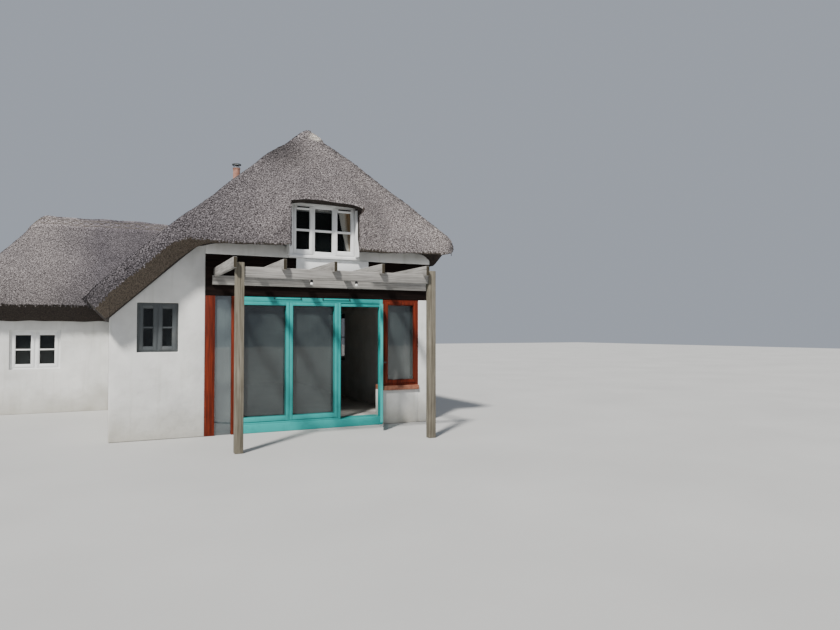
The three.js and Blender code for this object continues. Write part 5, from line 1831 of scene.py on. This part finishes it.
def cowl():
    """A collar, a hood and four straps between them."""
    shape = bmesh.new()
    turned(shape, COWL_CENTRE, COLLAR, POT_SEGMENTS, closed=True)
    turned(shape, COWL_CENTRE, HOOD, POT_SEGMENTS)
    for k in range(4):
        turn = Matrix.Translation(COWL_CENTRE) @ Matrix.Rotation(math.pi / 4 + k * math.pi / 2, 4, "Z")
        before = len(shape.verts)
        add_bar(shape, (0.0885, -0.011, 0.010), (0.0925, 0.011, 0.101))
        shape.verts.ensure_lookup_table()
        bmesh.ops.transform(shape, matrix=turn, verts=shape.verts[before:])
    return piece_from_bmesh("steel_cowl", shape, "steel")


hand_over(cowl(), stands_for=("chimney_cowl",))
# Two dark rings, under the hood's rim and under the collar, are painted shade.
cowl_shade_bands = bmesh.new()
for band in (HOOD_SHADE_BAND, COLLAR_SHADE_BAND):
    turned(cowl_shade_bands, COWL_CENTRE, band, POT_SEGMENTS, closed=True)
hand_over(piece_from_bmesh("cowl_shade_bands", cowl_shade_bands, "dark_frame"))

# %% [markdown]
# ### Mortar and lead
# A sloped bed of mortar holds the pot, and a lead skirt follows the straw around the stack. The
# skirt uses the height formula of the roof, so it needs no measuring.

# %% Flaunching and lead skirt
STACK_LOW, STACK_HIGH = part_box("chimney_stack")
SKIRT_UP, SKIRT_DOWN, SKIRT_GAP, SKIRT_THICKNESS = 0.13, 0.05, 0.004, 0.003
BED = [(0, 0.0005), (0.245, 0.0005), (0.235, 0.014), (0.130, 0.048), (0.099, 0.055), (0, 0.055)]

BED_CENTRE = (POT_CENTRE[0], plan_middle(STACK_LOW, STACK_HIGH)[1], STACK_HIGH[2])

mortar_bed = bmesh.new()
turned(mortar_bed, BED_CENTRE, BED, POT_SEGMENTS)
hand_over(piece_from_bmesh("mortar_bed", mortar_bed, "mortar", 0.004))


def lead_skirt():
    """A strip around the stack from just under the straw to more than a hand's width above it."""
    x0, y0 = (STACK_LOW[k] - SKIRT_GAP for k in (0, 1))
    x1, y1 = (STACK_HIGH[k] + SKIRT_GAP for k in (0, 1))
    path = [(x0, y) for y in np.linspace(y1, y0, 18)] + [(x, y0) for x in np.linspace(x0, x1, 16)[1:]]
    path += [(x1, y) for y in np.linspace(y0, y1, 18)[1:]]
    path += [(x, y1) for x in np.linspace(x1, x0, 16)[1:-1]]
    points, count = [], len(path)
    for x, y in path:
        roof = float(straw_outside(np.array(x), np.array(y)))
        points += [(x, y, roof - SKIRT_DOWN), (x, y, min(roof + SKIRT_UP, STACK_HIGH[2] - 0.01))]
    faces = [[2 * k, 2 * ((k + 1) % count), 2 * ((k + 1) % count) + 1, 2 * k + 1] for k in range(count)]
    piece = mesh_piece("lead_skirt", points, faces, ["lead"])
    sheet = piece.modifiers.new("lead", "SOLIDIFY")
    sheet.thickness = SKIRT_THICKNESS
    sheet.offset = 1
    settle(piece)
    shade(piece.data)
    return piece


hand_over(lead_skirt())
